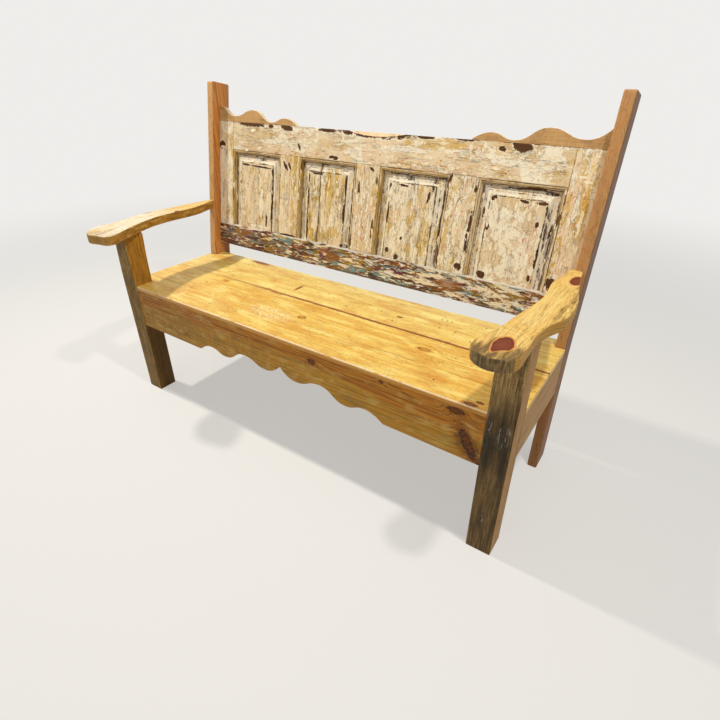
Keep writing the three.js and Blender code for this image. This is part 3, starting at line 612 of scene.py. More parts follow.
def hidden_finish(name, order, seed):
    """Plain sawn pine with saw marks across the grain."""
    wood = Finish(name, order, seed=seed)
    ring = wood.rings((240, 380), 5.5, 16).band(0.42, 0.64)
    colour = wood.tint("sawn").coat("sap_dark", ring * 0.6)
    marks = wood.cloud(3.2, 120, 5.1, 2).band(0.46, 0.6)
    colour = colour.coat("leg_grey", marks * 0.22)
    lines = wood.fibres(1.2).band(0.55, 0.7)
    colour = colour.coat("leg_grey", lines * 0.4)
    height = marks * 0.6 - lines * 0.4
    return wood.done(colour, ring * 0.1 + 0.7, height, 0.5, 0.25)


def crest_finish(word, sign):
    """Tan pine with rings, and brighter top faces that are partly sawn wood and partly a painted highlight.
    """
    wood = Finish(f"crest_{word}_pine", "XZY", seed=110 + sign * 7, on_door=True)
    rings = wood.rings((470, -60), 4.2, 17)
    face = wood.tint("crest_tan").coat("leg_grey", rings.band(0.42, 0.62) * 0.2)
    face = face.coat("leg_grey", wood.cloud(2.6, 24, 2.4, 3, 0.6).band(0.44, 0.6) * 0.2)
    face = face.coat("leg_grey", wood.cloud(90, 25, 3.2, 4).band(0.48, 0.7) * 0.5)
    # Painted highlight in part: the top faces, which face the lamps, take the pale sawn colour
    colour = face.coat("crest_top_sawn_and_highlight", wood.facing((0, 0.17, 0.98), 0.45, 0.75))
    lines = wood.fibres(1.1).band(0.54, 0.68)
    colour = colour.coat("heart_dark", lines * 0.2)
    colour = colour.coat("knot_brown", wood.cloud(6, 3, 7.7, 2).band(0.72, 0.76) * 0.7)
    roughness = wood.cloud(60, 20, 10.5) * 0.2 + 0.5
    height = rings * 0.4 - lines * 0.6
    return wood.done(colour, roughness, height, 0.5, 0.3)


# Chips and dark strokes on the door's face: across from the middle, up from the foot, half width and
# half height in millimetres, and a tilt to the left in radians
DOOR_MARKS = [
    (-540, 383, 66, 8, 0), (-442, 380, 11, 6, 0), (-366, 380, 28, 9, -0.12), (-180, 382, 34, 6, 0),
    (14, 388, 126, 17, 0), (498, 378, 25, 12, -0.12), (441, 369, 11, 6, 0), (200, 384, 26, 5, 0),
    (330, 386, 30, 4, 0), (-701, 300, 18, 13, 0.07), (-363, 250, 6, 18, 0.68), (-345, 255, 3, 13, 0.42),
    (-302, 319, 4, 15, 0.44), (-144, 297, 19, 6, -0.1), (15, 276, 5, 8, 0.79), (38, 241, 4, 14, -0.06),
    (37, 84, 3, 32, -0.04), (-48, 32, 4, 22, 0), (151, 73, 4, 6, -0.47), (103, 27, 6, 9, -0.43),
    (140, 9, 8, 11, -0.45), (-78, 6, 18, 8, 0), (-340, 3, 40, 4, 0), (369, 23, 12, 10, -0.42),
    (446, 13, 14, 10, -0.36), (654, 28, 12, 16, 0), (384, 254, 4, 11, 0), (-30, 200, 4, 30, 0),
    (-640, 120, 4, 26, 0), (297, 268, 6, 22, -0.32), (287, 204, 5, 34, 0), (282, 117, 5, 40, 0.04),
    (292, 47, 5, 32, 0.08), (278, 34, 4, 22, 0.03), (245, 254, 5, 20, 0), (232, 212, 3, 16, -0.17),
    (-487, 263, 14, 5, 0), (157, 263, 14, 7, 0), (-260, 254, 20, 4, 0.71), (-572, 238, 22, 3, -0.04),
    (-494, 236, 50, 2.5, -0.02), (-431, 158, 4, 38, -0.08), (-433, 81, 5, 40, -0.03),
    (-433, 219, 3, 17, 0.19), (-603, 192, 2.5, 43, -0.02), (-607, 90, 2.5, 52, -0.03),
    (-267, 203, 4, 30, -0.02), (-270, 76, 5.5, 66, 0.03), (-254, 221, 3, 14, -0.03),
    (-253, 143, 3.5, 48, 0), (-252, 48, 5, 42, 0.05), (-215, 240, 28, 3, 0), (-288, 260, 4, 16, 0),
    (-460, 41, 3.5, 26, -0.05), (-88, 208, 3.5, 32, 0.03), (-90, 119, 4.5, 30, 0),
    (-59, 123, 3.5, 30, 0.14), (-73, 50, 4, 28, -0.02), (88, 228, 3, 14, -0.3), (80, 190, 3, 20, -0.25),
    (90, 141, 3, 26, -0.06), (137, 239, 15, 3, -0.09), (471, 269, 16, 3.5, 0.18), (523, 272, 34, 3, 0.06),
    (558, 276, 27, 3, 0.02), (604, 266, 18, 4.5, 0.02), (443, 239, 9, 6, 0.76), (530, 239, 13, 4, -0.17),
    (583, 239, 16, 4, 0.09), (408, 245, 4, 16, 0.13), (417, 197, 4, 15, 0), (438, 155, 4, 9, -0.16),
    (384, 157, 3.5, 30, 0), (382, 91, 4, 38, 0.06), (580, 181, 4, 9, 0.03), (607, 162, 4, 26, 0.08),
    (606, 122, 5, 16, 0.06), (600, 88, 5.5, 29, 0), (634, 199, 5, 23, -0.23), (615, 47, 5, 17, 0.15),
    (590, 29, 4, 8, 0.13), (604, 213, 3, 18, 0.39), (620, 140, 3, 50, 0),
]


# Large white flakes and ochre patches, given in the same way
DOOR_WHITES = [
    (335, 120, 9, 90, -0.06), (326, 60, 6, 50, 0), (515, 64, 24, 20, 0), (510, 30, 48, 11, 0),
    (550, 128, 8, 28, 0), (490, 200, 22, 14, 0), (672, 235, 6, 34, 0), (259, 125, 7, 100, 0),
    (20, 88, 6, 36, 0), (-15, 63, 10, 8, 0), (-214, 172, 14, 9, 0), (-490, 100, 12, 50, 0),
    (-500, 12, 46, 7, 0), (-150, 268, 26, 6, 0), (480, 335, 60, 10, 0), (300, 352, 50, 7, 0),
    (120, 345, 90, 9, 0), (-420, 330, 70, 8, 0),
]
DOOR_OCHRES = [
    (245, 368, 90, 13, 0), (309, 115, 8, 56, 0), (651, 248, 8, 26, 0), (-218, 170, 20, 24, 0),
    (-168, 28, 24, 18, 0), (-158, 134, 12, 76, 0), (-155, 190, 16, 36, 0), (-135, 44, 28, 20, 0),
    (181, 46, 14, 18, 0), (232, 88, 18, 66, 0), (-323, 75, 10, 56, 0),
]


def board_on_door(node):
    """A board's low and high corner on the door's face, in millimetres."""
    return [(corner.x * MM, (corner.z - DOOR_FOOT.z) * MM / UP_DOOR.z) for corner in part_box(node)]


def marks_on(table, node, level):
    """The marks of a table that reach a board's face, turned so that they suit its grain."""
    (left, foot), (right, top) = board_on_door(node)
    found = []
    for x, up, half_x, half_up, tilt in table:
        if left < x + half_x and x - half_x < right and foot < up + half_up and up - half_up < top:
            half_x, half_up = max(half_x, LEAST_HALF_X), max(half_up, LEAST_HALF_UP)
            found.append((x, up, half_x, half_up, tilt) if level else (up, x, half_up, half_x, -tilt))
    return found or [OFF_THE_DOOR]


def edge_gap(paint, node):
    """Distance from the nearest edge of a board's face."""
    x, up = (paint.along, paint.across) if paint.level else (paint.across, paint.along)
    (left, foot), (right, top) = board_on_door(node)
    return (x - left) & (right - x) & (up - foot) & (top - up)


def old_paint(paint, node, ochre=0, white=0, red=0, worn=0, cracks=0.75, wide=1, fine=1, blush=0.6,
              pale=0, stain=1):
    """Colour, roughness and height of the flaking coats. A higher number shows more of its coat; wide makes
    the flakes wider across the grain, and node is the board whose marks are drawn."""
    shard = paint.cells(10, 4.5 * wide, 17.1)
    patch = paint.cloud(110, 40, 1.1, 6, 0.62, 0.3) + pale
    colour = paint.tint("tan").coat("cream", patch.band(0.36, 0.58))
    colour = colour.coat("pink", paint.cloud(190, 80, 1.7, 4).band(0.44, 0.62) * blush)
    deep = shard * 0.035 + (paint.cloud(150, 42, 2.3, 7, 0.66, 0.6) + ochre)
    cover = deep.band(0.58, 0.6)
    colour = colour.coat("ochre", cover * 0.85 * stain).coat("olive", deep.band(0.64, 0.68) * 0.7)
    drag = paint.cloud(70, 1.8, 5.3, 5, 0.62)
    hair = drag.band(0.54, 0.68) * paint.cloud(140, 40, 5.9, 3).band(0.36, 0.6)
    colour = colour.coat("olive", hair * 0.7 * cracks)
    blaze = shard * 0.16 + paint.cloud(60, 30 * wide, 16.3, 5, 0.62, 0.8)
    colour = colour.coat("ochre", blaze.band(0.58, 0.6) * 0.6 * stain)
    flake = shard * 0.07 + (paint.cloud(80, 24 * wide, 3.1, 7, 0.72, 0.6) + white)
    paper = flake.band(0.565, 0.575)
    colour = colour.coat("white", paper * 0.85)
    broken = paint.cloud(40, 20, 3.9, 3).band(0.46, 0.52)
    curl = flake.thread(0.558, 0.011) * broken
    frayed = shard * 0.7 + (paint.cloud(44, 12, 14.4, 6, 0.72, 0.5) * 5 - 2.5)
    golden = paint.nearest(marks_on(DOOR_OCHRES, node, paint.level)) + frayed
    colour = colour.coat("ochre", golden.band(1.1, 0.95) * 0.6)
    peeled = paint.nearest(marks_on(DOOR_WHITES, node, paint.level)) - frayed
    colour = colour.coat("white", peeled.band(1.1, 1) * 0.85)
    curl = curl | peeled.thread(1.3, 0.25) * broken
    scab = paint.cloud(18, 5, 4.7, 6, 0.7)
    colour = colour.coat("cream", scab.band(0.6, 0.64) * 0.8 * fine)
    colour = colour.coat("ochre", scab.band(0.38, 0.34) * 0.5 * fine)
    dust = paint.cloud(5, 2.6, 18.3, 3, 0.6)
    colour = colour.coat("white", dust.band(0.58, 0.66) * 0.55 * fine)
    colour = colour.coat("olive", dust.band(0.4, 0.32) * 0.5 * fine)
    rim = deep.thread(0.578, 0.009) * broken
    fleck = paint.cloud(20, 7, 6.9, 4, 0.6, 1) + red
    fleck = fleck.band(0.66, 0.675) * paint.cloud(150, 110, 6.1, 1).band(0.44, 0.52)
    colour = colour.coat("red", fleck * 0.75)
    split = paint.cloud(150, 9, 7.4, 4, 0.6).thread(0.5, 0.012)
    split = split * paint.cloud(90, 40, 8.2, 2).band(0.49, 0.56)
    pit = paint.cloud(10, 3.4, 9.6, 4).band(0.67, 0.7)
    ragged = shard * 0.9 + (paint.cloud(11, 5, 10.2, 5, 0.7) * 2.4 - 1.35)
    near = paint.facing(INTO_DOOR) * 9 + paint.nearest(marks_on(DOOR_MARKS, node, paint.level))
    near = paint.facing(UP_DOOR) * 0.9 + near + ragged
    colour = colour.coat("white", near.thread(1.5, 0.45) * 0.7)
    chip = near.band(1.05, 0.95) | (worn + ragged * 0.4).band(0.58, 0.66)
    colour = colour.coat("bare", (rim | curl | split | pit) * cracks)
    colour = colour.coat(paint.tint("bare").coat("rust", drag.band(0.5, 0.62) * 0.5), chip)
    height = scab.band(0.58, 0.62) * 0.2 + (paper * 0.4 + 0.5) - cover * 0.2 - (split | pit) * 0.5
    height = drag * 0.3 + height * (1 - chip)
    roughness = patch * 0.25 + 0.5
    return colour, roughness, height


# The seed and the coats of each board of the door's frame
FRAME_COATS = {
    "door_top_rail": (151, {"white": 0.03, "red": 0.05, "cracks": 0.4, "wide": 2.4, "fine": 0.75,
                            "pale": -0.03, "stain": 0.55}),
    "door_left_stile": (163, {"ochre": 0.02, "white": 0.09, "cracks": 0.6, "gold": 0.45}),
    "door_right_stile": (177, {"ochre": 0.02, "white": 0.02, "red": 0.05, "cracks": 0.6, "wide": 1.4}),
    "door_muntin_1": (190.3, {"ochre": 0.04, "white": -0.01, "blush": 0.3, "gold": 0.55}),
    "door_muntin_2": (199.6, {"ochre": -0.01, "white": 0.02, "red": 0.05, "gold": 0.3}),
    "door_muntin_3": (208.9, {"ochre": 0.02, "white": 0.06, "pale": -0.02, "red": 0.02, "wide": 1.5}),
}


def door_board_finish(node, seed, gold=0, **coats):
    """Flaking paint on a board of the door's frame, chipped along its edges."""
    order = "XZY" if node == "door_top_rail" else "ZXY"
    paint = Finish(f"{node}_paint", order, seed=seed, on_door=True)
    worn = edge_gap(paint, node).band(6, -3) * (paint.facing(UP_DOOR) * -0.5 + 1)
    colour, roughness, height = old_paint(paint, node, worn=worn, **coats)
    if gold:
        right = board_on_door(node)[1][0]
        rim = (right - paint.across).band(24, 2) * paint.cloud(70, 8, 14.3, 6, 0.7).band(0.42, 0.54)
        colour = colour.coat("ochre", rim * gold)
    if paint.level:
        # Darker and greyer towards the top rail's left end
        colour = colour.coat("leg_grey", paint.along.band(-60, -560) * 0.12)
        colour = colour.coat("hollow", paint.along.thread(14, 122) * paint.facing(UP_DOOR, 0.25, 0.6))
    return paint.done(colour, roughness, height, 1.2, 0.15)


# The coats of each panel
PANEL_COATS = {
    1: {"ochre": -0.02, "white": -0.01, "blush": 0.3}, 2: {"ochre": 0.06, "white": 0.02, "blush": 0.1},
    3: {"ochre": 0.045, "white": 0.06, "blush": 0.2},
    4: {"ochre": -0.02, "white": 0.065, "pale": -0.035, "red": 0.05, "cracks": 0.4, "wide": 2.6,
        "fine": 0.5, "stain": 0.6},
}


def panel_finish(number):
    """Flaking paint on a panel: pale grey on the sloping margins, dark along the step to the field, partly as
    painted shade, with a white line beside it that is partly a painted highlight.
    """
    paint = Finish(f"door_panel_{number}_paint", "ZXY", seed=200 + number * 13.7, on_door=True)
    left, right, top = (value * MM for value in opening(number))
    to_left = paint.across - left
    inset = to_left & right - paint.across & top - paint.along
    wobble = paint.cloud(70, 40, 12.3, 4) * 7 - 3.5
    behind = paint.facing(INTO_DOOR) * 200
    inset = inset + wobble + behind
    to_left = to_left + behind
    colour, roughness, height = old_paint(paint, f"door_panel_{number}", **PANEL_COATS[number])
    margin = inset.band(40, 37) * inset.band(14, 17)
    shaded = to_left.band(40, 14) * paint.cloud(300, 30, 12.9, 3).band(0.3, 0.6)
    colour = colour.coat("ochre", shaded * 0.55)
    colour = colour.coat("pale_grey", margin * paint.cloud(60, 9, 13.1, 5, 0.65).band(0.46, 0.52) * 0.5)
    # Partly painted highlight: a broken white line on the raised edge just inside the field's step, partly
    # white paint
    white = inset.thread(36.5, 4.2) * paint.cloud(60, 60, 13.7, 4).band(0.46, 0.5)
    colour = colour.coat("white", white * 0.9)
    # Dark lines at 42, 29 and 16 mm in: paint cracked to bare wood, and at the field's step and the margin's
    # root also painted shade
    for place, seed, start in ((42, 14.9, -11.6), (29, 15.7, -13.2), (16, 16.3, -11.6)):
        line = inset.thread(place, paint.cloud(34, 34, seed, 6, 0.75) * 26 + start | 0.01)
        colour = colour.coat("bare", line * 0.9)
        height = height - line * 0.5
    if number == 2:
        gap = abs(paint.across - (paint.cloud(60, 400, 15, 4) * 22 - 213))
        colour = colour.coat("olive", gap.band(14, 3) * paint.cloud(90, 30, 15.5, 3).band(0.38, 0.56) * 0.7)
        crack = gap.band(3.2, 1.4)
        colour = colour.coat("bare", crack * 0.8)
        height = height - crack
    return paint.done(colour, roughness, height, 1.2, 0.15)


def moulding_finish(number, word):
    """Paint on a moulding strip, worn to dark wood along its ridges; the left ones carry the most ochre and
    olive, which is partly dirt and partly painted shade.
    """
    node = f"panel_{number}_{word}_moulding"
    order = "XZY" if word == "top" else "ZXY"
    paint = Finish(f"{node}_paint", order, seed=300 + number * 7.1 + len(word), on_door=True)
    left, right, top = (value * MM for value in opening(number))
    if word == "left":
        side, dirt_and_shade, bared = paint.across - left, 0.8 if number < 4 else 0.4, 0.65
    else:
        side, dirt_and_shade, bared = (top if paint.level else right) - paint.across, 0.3, 0.88
    colour, roughness, height = old_paint(paint, node, ochre=0.02)
    # Painted shade and dirt: the left strips get the strongest ochre and olive tint
    golden = paint.cloud(90, 9, 11.5, 6, 0.68).band(0.34, 0.5) * dirt_and_shade
    colour = colour.coat(paint.tint("ochre").coat("olive", side.band(0, 7)), golden)
    for place, seed, start in ((0.8, 12.7, -3.8), (12.6, 13.3, -3.2), (6.5, 14.1, -5.2)):
        line = side.thread(place, paint.cloud(50, 400, seed, 5, 0.7) * 11 + start | 0.01)
        colour = colour.coat("bare", line * bared)
    return paint.done(colour, roughness, height, 0.7, 0.15)


def back_rail_finish():
    """Flaked coats of many colours, drawn out along the rail; dark at the left, chalky at the right."""
    paint = Finish("back_rail_paint", "XZY", seed=7.9, on_door=True)
    low, high = board_on_door("back_bottom_rail")
    rightward = paint.along.band(-560, 560)
    colour = paint.tint("rust").coat("bare", paint.cloud(80, 12, 1.2, 5, 0.6).band(0.42, 0.58))
    coats = [("olive", 120, 26, 2.4, 0.5, -0.03), ("burgundy", 80, 24, 3.6, 0.55, -0.02),
             ("rust", 80, 24, 3.9, 0.61, 0), ("blue", 70, 18, 4.1, 0.585, 0.075),
             ("ochre", 70, 12, 4.7, 0.62, 0), ("cream", 46, 9, 5.8, 0.562, 0.045),
             ("pale_grey", 34, 7, 6.5, 0.6, 0.05), ("bare", 60, 9, 7.9, 0.58, -0.02)]
    height = paint.fibres() * 0.2
    shard = paint.cells(12, 5, 17.1)
    for name, along, across, seed, start, more in coats:
        coat = rightward * more + paint.cloud(1.1 * along, 1.25 * across, seed, 6, 0.66, 0.5)
        coat = shard * 0.05 + coat
        cover = coat.band(start, start + 0.014)
        colour = colour.coat(name, cover).coat("bare", coat.thread(start - 0.004, 0.008) * 0.5)
        height = cover * (0.22 if name != "bare" else -0.5) + height
    spots = [(-118, -40, 34, 18), (-160, -22, 26, 12), (352, -42, 44, 20), (-560, -20, 50, 10)]
    ragged = paint.cloud(30, 12, 9.1, 5, 0.6) * 2.4 - 1.2
    colour = colour.coat("rust", (paint.nearest(spots) + ragged).band(1.1, 0.8) * 0.75)
    dark_end = paint.along.band(-430, -640) * paint.cloud(60, 16, 9.7, 5).band(0.4, 0.52)
    colour = colour.coat("burgundy", dark_end * 0.4)
    foot = (paint.across - low[1] + ragged * 6).band(16, 12) * paint.cloud(160, 60, 10.7).band(0.4, 0.5)
    colour = colour.coat("bare", foot * 0.8)
    head = paint.across.thread(high[1] - 2, 4) * paint.cloud(70, 30, 11.3).band(0.36, 0.44)
    colour = colour.coat("pale_grey", head * 0.8).coat("bare", paint.fibres().band(0.56, 0.7) * 0.35)
    plain = paint.tint("sawn").coat("leg_grey", paint.cloud(200, 6, 13.5, 4).band(0.4, 0.6))
    colour = colour.coat(plain, paint.facing(INTO_DOOR))
    roughness = paint.cloud(60, 20, 12.5) * 0.3 + 0.42
    return paint.done(colour, roughness, height, 1, 0.35)


def nail_finish():
    """Dark iron, rusted."""
    iron = Finish("nail_iron", "XYZ")
    rust = iron.cloud(3, 3, 1)
    colour = Value(iron, IRON_COLOUR).coat(RUST_COLOUR, rust)
    return iron.done(colour, 0.6, rust, 0.1, 0.4)


def flake_finish():
    """Cream and white of the standing flakes."""
    paint = Finish("standing_paint", "ZXY", seed=2.2, on_door=True)
    patch = paint.cloud(26, 12, 1.1, 4)
    colour = paint.tint("cream").coat("white", patch.band(0.46, 0.62))
    colour = colour.coat("tan", paint.cloud(12, 5, 2.9, 4).band(0.56, 0.66) * 0.6)
    return paint.done(colour, 0.55, paint.cloud(6, 2, 3.3), 0.15, 0.3)


def on_door(x, into, up):
    """A point given on the door, in the frame."""
    return DOOR_FOOT + Vector((x, 0, 0)) + INTO_DOOR * into + UP_DOOR * up


def new_mesh(name, mesh_maker, material):
    """A mesh object whose shape a function puts in; nothing is moved."""
    mesh = bpy.data.meshes.new(name)
    work = bmesh.new()
    mesh_maker(work)
    bmesh.ops.recalc_face_normals(work, faces=work.faces)
    work.to_mesh(mesh)
    work.free()
    mesh.materials.append(material)
    piece = bpy.data.objects.new(name, mesh)
    bpy.context.scene.collection.objects.link(piece)
    return piece


def add_piece(name, mesh_maker, material):
    """A small piece that rides on the bench."""
    piece = new_mesh(name, mesh_maker, material)
    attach(piece, "root")


# Nail heads in the seat: right of the middle and back from the legs' faces, in metres
SEAT_NAILS = [
    (0.179, 0.331), (0.390, 0.331), (0.444, 0.331), (0.372, 0.388), (0.390, 0.389), (0.406, 0.388),
    (0.244, 0.292), (-0.500, 0.180), (-0.512, 0.300), (-0.505, 0.400), (0.508, 0.060), (0.510, 0.190),
    (0.505, 0.300), (0.512, 0.408), (-0.508, 0.055), (0.560, 0.236), (-0.300, 0.335), (0.060, 0.300),
]

# Loops of a nail's head from the crown down: share of its radius, and height as a share of its rise
NAIL_LOOPS = ((0.6, 0.8), (1.0, 0.2), (0.9, -1.5))
NAIL_SIDES = 10


def make_nails(work, radius, rise):
    """Low domes, sunk a little into the wood."""
    for x, back in SEAT_NAILS:
        middle = Vector((x, LEG_FRONT + back, SEAT_TOP))
        crown = work.verts.new(middle + Vector((0, 0, rise)))
        loops = []
        for share, height in NAIL_LOOPS:
            loops.append([
                work.verts.new(middle + Vector((
                    radius * share * math.cos(math.tau * i / NAIL_SIDES),
                    radius * share * math.sin(math.tau * i / NAIL_SIDES),
                    rise * height,
                ))) for i in range(NAIL_SIDES)
            ])
        base = work.verts.new(middle + Vector((0, 0, NAIL_LOOPS[-1][1] * rise)))
        for i in range(NAIL_SIDES):
            j = (i + 1) % NAIL_SIDES
            work.faces.new((crown, loops[0][i], loops[0][j]))
            work.faces.new((loops[0][i], loops[1][i], loops[1][j], loops[0][j]))
            work.faces.new((loops[1][i], loops[2][i], loops[2][j], loops[1][j]))
            work.faces.new((loops[2][i], base, loops[2][j]))


def make_flakes(work, count, thickness):
    """Thin ragged plates with lifted rims, laid on the door's face where a ray meets it."""
    draw = random.Random(11)
    scene = bpy.context.scene
    depsgraph = bpy.context.evaluated_depsgraph_get()
    side_gap, foot_gap, top_gap = 0.016, 0.008, 0.014
    ray_start, ray_length, square_on = -0.01, 0.05, -0.99
    shortest, spread, sunk = 0.004, 0.016, 0.0003
    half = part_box("door_right_stile")[1].x
    rail_foot = opening(1)[2]
    for _ in range(count):
        x = draw.uniform(side_gap - half, half - side_gap)
        up = draw.uniform(foot_gap, DOOR_TOP - top_gap)
        side = Vector((1, 0, 0))
        grain, cross = (UP_DOOR, side) if up < rail_foot else (side, UP_DOOR)
        long_half = shortest + spread * draw.random() ** 2.2
        start = on_door(x, ray_start, up)
        found = [scene.ray_cast(depsgraph, start + grain * part, INTO_DOOR, distance=ray_length)
                 for part in (0, -long_half, long_half)]
        if any(hit[4] is None or hit[4] != found[0][4] or hit[2].dot(INTO_DOOR) > square_on for hit in found):
            continue
        point, normal = found[0][1:3]
        wide_half = long_half * draw.uniform(0.2, 0.42)
        points = draw.randint(9, 15)
        lean = draw.uniform(-0.3, 0.3)
        lift = draw.uniform(0.2, 1.2) * thickness
        low, high = [], []
        for i in range(points):
            angle = math.tau * i / points
            reach = draw.uniform(0.60, 1.0)
            a, b = long_half * reach * math.cos(angle), wide_half * reach * math.sin(angle)
            spot = point + grain * (a - lean * b) + cross * (b + lean * a * 0.4)
            low.append(work.verts.new(spot - normal * sunk))
            high.append(work.verts.new(spot + normal * (thickness + lift * draw.uniform(0.1, 1.0))))
        middle = work.verts.new(point + normal * thickness)
        work.faces.new(list(reversed(low)))
        for i in range(points):
            j = (i + 1) % points
            work.faces.new((middle, high[i], high[j]))
            work.faces.new((high[i], low[i], low[j], high[j]))


class BENCH_OT_dress_legs(bpy.types.Operator):
    """Gives the front legs their weathered timber"""

    bl_idname = "bench.dress_legs"
    bl_label = "Front legs"

    def execute(self, context):
        for word, sign in SIDES:
            dress(f"{word}_front_leg", leg_finish(word, sign))
        return {"FINISHED"}


class BENCH_OT_dress_posts(bpy.types.Operator):
    """Gives the rear posts their striped timber"""

    bl_idname = "bench.dress_posts"
    bl_label = "Rear posts"

    def execute(self, context):
        for word, sign in SIDES:
            dress(f"{word}_rear_post", post_finish(word, sign))
        return {"FINISHED"}


class BENCH_OT_dress_arms(bpy.types.Operator):
    """Gives the arms their worn pine and red knots"""

    bl_idname = "bench.dress_arms"
    bl_label = "Arms"

    def execute(self, context):
        for word, sign in SIDES:
            dress(f"{word}_arm", arm_finish(word, sign))
        return {"FINISHED"}


class BENCH_OT_dress_seat(bpy.types.Operator):
    """Gives the seat boards their waxed pine"""

    bl_idname = "bench.dress_seat"
    bl_label = "Seat boards"

    def execute(self, context):
        for number in SEAT_KNOTS:
            dress(f"seat_board_{number}", seat_finish(number))
        return {"FINISHED"}


class BENCH_OT_dress_rails(bpy.types.Operator):
    """Gives the apron, the side rails and the hidden pieces under the seat their timber"""

    bl_idname = "bench.dress_rails"
    bl_label = "Rails under the seat"

    def execute(self, context):
        dress("front_apron", apron_finish())
        for word, sign in SIDES:
            dress(f"{word}_side_rail", side_rail_finish(word, sign))
        dress("rear_seat_rail", hidden_finish("rear_rail_pine", "XZY", 3.1))
        for number in (1, 2):
            dress(f"seat_batten_{number}", hidden_finish(f"batten_{number}_pine", "YXZ", number * 5.7))
        return {"FINISHED"}


class BENCH_OT_dress_door(bpy.types.Operator):
    """Gives the door's frame and panels their flaking paint"""

    bl_idname = "bench.dress_door"
    bl_label = "Door"

    def execute(self, context):
        for node, (seed, coats) in FRAME_COATS.items():
            dress(node, door_board_finish(node, seed, **coats))
        for number in range(1, OPENING_COUNT + 1):
            dress(f"door_panel_{number}", panel_finish(number))
        return {"FINISHED"}


class BENCH_OT_dress_mouldings(bpy.types.Operator):
    """Gives the moulding strips round the panels their worn paint"""

    bl_idname = "bench.dress_mouldings"
    bl_label = "Mouldings"

    def execute(self, context):
        for number in range(1, OPENING_COUNT + 1):
            for word in ("left", "top", "right"):
                dress(f"panel_{number}_{word}_moulding", moulding_finish(number, word))
        return {"FINISHED"}


class BENCH_OT_dress_back_rail(bpy.types.Operator):
    """Gives the back's bottom rail its many coats"""

    bl_idname = "bench.dress_back_rail"
    bl_label = "Bottom rail of the back"

    def execute(self, context):
        dress("back_bottom_rail", back_rail_finish())
        return {"FINISHED"}


class BENCH_OT_dress_crests(bpy.types.Operator):
    """Gives the crest pieces their pine"""

    bl_idname = "bench.dress_crests"
    bl_label = "Crest pieces"

    def execute(self, context):
        for word, sign in SIDES:
            dress(f"crest_{word}", crest_finish(word, sign))
        return {"FINISHED"}


class BENCH_OT_add_nails(bpy.types.Operator):
    """Adds the heads of the seat's nails"""

    bl_idname = "bench.add_nails"
    bl_label = "Seat nails"

    def execute(self, context):
        sizes = context.scene.bench_details
        add_piece("seat_nails", lambda work: make_nails(work, sizes.nail_radius, sizes.nail_rise),
                  nail_finish())
        return {"FINISHED"}


class BENCH_OT_add_flakes(bpy.types.Operator):
    """Adds the flakes of paint that stand off the door's frame"""

    bl_idname = "bench.add_flakes"
    bl_label = "Paint flakes"

    def execute(self, context):
        sizes = context.scene.bench_details
        add_piece("door_paint_flakes",
                  lambda work: make_flakes(work, sizes.flake_count, sizes.flake_thickness),
                  flake_finish())
        return {"FINISHED"}


def stage_finish():
    """Pale floor that keeps shadows near the bench and melts into the ground's colour further out."""
    tree = Tree(bpy.data.materials.new("stage_floor"))
    seen = tree.seen()
    to_light, to_camera = (0.72, 0.71, 0.69, 1), (0.42, 0.415, 0.40, 1)
    glow_colour, glow_strength = (1, 0.99, 0.97, 1), 0.42
    whole, melted = 1.4, 4.5
    reach = tree.add("VectorMath", {0: tree.add("TexCoord", {}, "Object")}, "Value", operation="LENGTH")
    near = tree.add("AddShader", {
        0: tree.add("BsdfDiffuse", {"Color": Value(tree, to_light).coat(to_camera, seen)}),
        1: tree.add("Emission", {"Color": glow_colour, "Strength": seen * glow_strength}),
    })
    ground = tree.add("Emission", {"Color": GROUND_COLOUR})
    mixed = tree.add("MixShader", {0: reach.band(whole, melted) * seen, 1: near, 2: ground})
    tree.add("OutputMaterial", {"Surface": mixed})
    return tree.owner


def make_floor(work):
    """A wide flat square."""
    corners = ((-1, -1), (1, -1), (1, 1), (-1, 1))
    work.faces.new([work.verts.new((x * FLOOR_HALF, y * FLOOR_HALF, 0)) for x, y in corners])


def make_sky(strength):
    """Even pale light from all around, and a pale ground to the camera."""
    tree = Tree(bpy.data.worlds.new("pale_sky"))
    light = tree.add("Background", {"Color": (1, 0.985, 0.955, 1), "Strength": strength})
    ground = tree.add("Background", {"Color": GROUND_COLOUR})
    tree.add("OutputWorld", {"Surface": tree.add("MixShader", {0: tree.seen(), 1: light, 2: ground})})
    bpy.context.scene.world = tree.owner


def add_lamp(name, power, warmth, place, aim, size):
    """A square area lamp that looks at a point."""
    lamp = bpy.data.lights.new(name, "AREA")
    lamp.size, lamp.energy, lamp.color = size, power, warmth
    holder = bpy.data.objects.new(name, lamp)
    holder.location = place
    holder.rotation_euler = (Vector(aim) - Vector(place)).to_track_quat("-Z", "Y").to_euler()
    holder.visible_camera = False
    bpy.context.scene.collection.objects.link(holder)


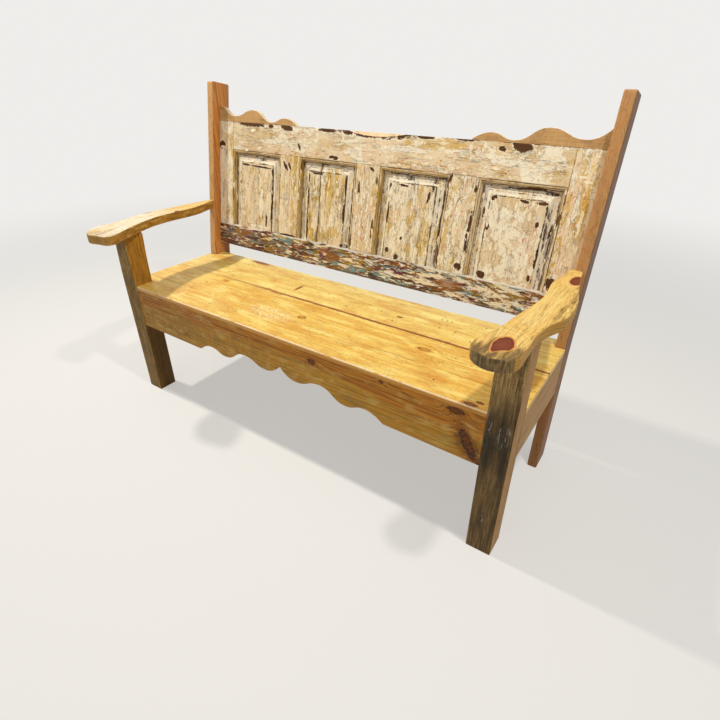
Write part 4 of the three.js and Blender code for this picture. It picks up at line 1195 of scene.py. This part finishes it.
class BENCH_OT_set_stage(bpy.types.Operator):
    """Adds the camera, the lamps and the pale floor"""

    bl_idname = "bench.set_stage"
    bl_label = "Stage"

    def execute(self, context):
        stage = context.scene.bench_stage
        camera = bpy.data.cameras.new("camera")
        camera.lens = stage.camera_lens
        camera.sensor_width = SENSOR_WIDTH
        holder = bpy.data.objects.new("camera", camera)
        holder.location = (stage.camera_right, LEG_FRONT - stage.camera_front, stage.camera_height)
        holder.rotation_euler = (math.pi / 2 - stage.camera_dip, 0, stage.camera_turn)
        context.scene.collection.objects.link(holder)
        context.scene.camera = holder
        context.scene.view_settings.view_transform = "Standard"
        new_mesh("floor", make_floor, stage_finish())
        make_sky(stage.sky_strength)
        warm, plain = (1.0, 0.94, 0.84), (1.0, 0.97, 0.93)
        add_lamp("key_lamp", stage.key_power, warm, place=(-2.0, -0.3, 2.8), aim=(0, 0, 0.5), size=0.14)
        add_lamp("side_lamp", stage.side_power, warm, place=(1.25, -0.35, 2.8), aim=(0.2, 0, 0.4), size=0.14)
        add_lamp("front_lamp", stage.front_power, plain, place=(0.6, -2.8, 1.9), aim=(0, 0.1, 0.5), size=1.6)
        return {"FINISHED"}


OPERATORS = (
    BENCH_OT_set_stage,
    BENCH_OT_dress_legs,
    BENCH_OT_dress_posts,
    BENCH_OT_dress_arms,
    BENCH_OT_dress_seat,
    BENCH_OT_dress_rails,
    BENCH_OT_dress_back_rail,
    BENCH_OT_dress_door,
    BENCH_OT_dress_mouldings,
    BENCH_OT_dress_crests,
    BENCH_OT_add_nails,
    BENCH_OT_add_flakes,
)


class BENCH_PT_sidebar(bpy.types.Panel):
    """Lists the bench's steps and settings"""

    bl_idname = "BENCH_PT_sidebar"
    bl_label = "Bench"
    bl_space_type = "VIEW_3D"
    bl_region_type = "UI"
    bl_category = "Bench"

    def draw(self, context):
        for operator in OPERATORS:
            self.layout.operator(operator.bl_idname)
        for group in (context.scene.bench_details, context.scene.bench_stage, context.scene.bench_colours):
            column = self.layout.column()
            for name in group.bl_rna.properties.keys():
                if name not in ("rna_type", "name"):
                    column.prop(group, name)


GROUPS = {"bench_colours": BenchColours, "bench_details": BenchDetails, "bench_stage": BenchStage}


def register():
    for group in (*GROUPS.values(), *OPERATORS, BENCH_PT_sidebar):
        bpy.utils.register_class(group)
    for name, group in GROUPS.items():
        setattr(bpy.types.Scene, name, bpy.props.PointerProperty(type=group))


def unregister():
    for name in GROUPS:
        delattr(bpy.types.Scene, name)
    for group in reversed((*GROUPS.values(), *OPERATORS, BENCH_PT_sidebar)):
        bpy.utils.unregister_class(group)


def main():
    register()
    for operator in OPERATORS:
        step = operator.bl_idname.split(".")[1]
        getattr(bpy.ops.bench, step)()


if __name__ == "__main__":
    main()
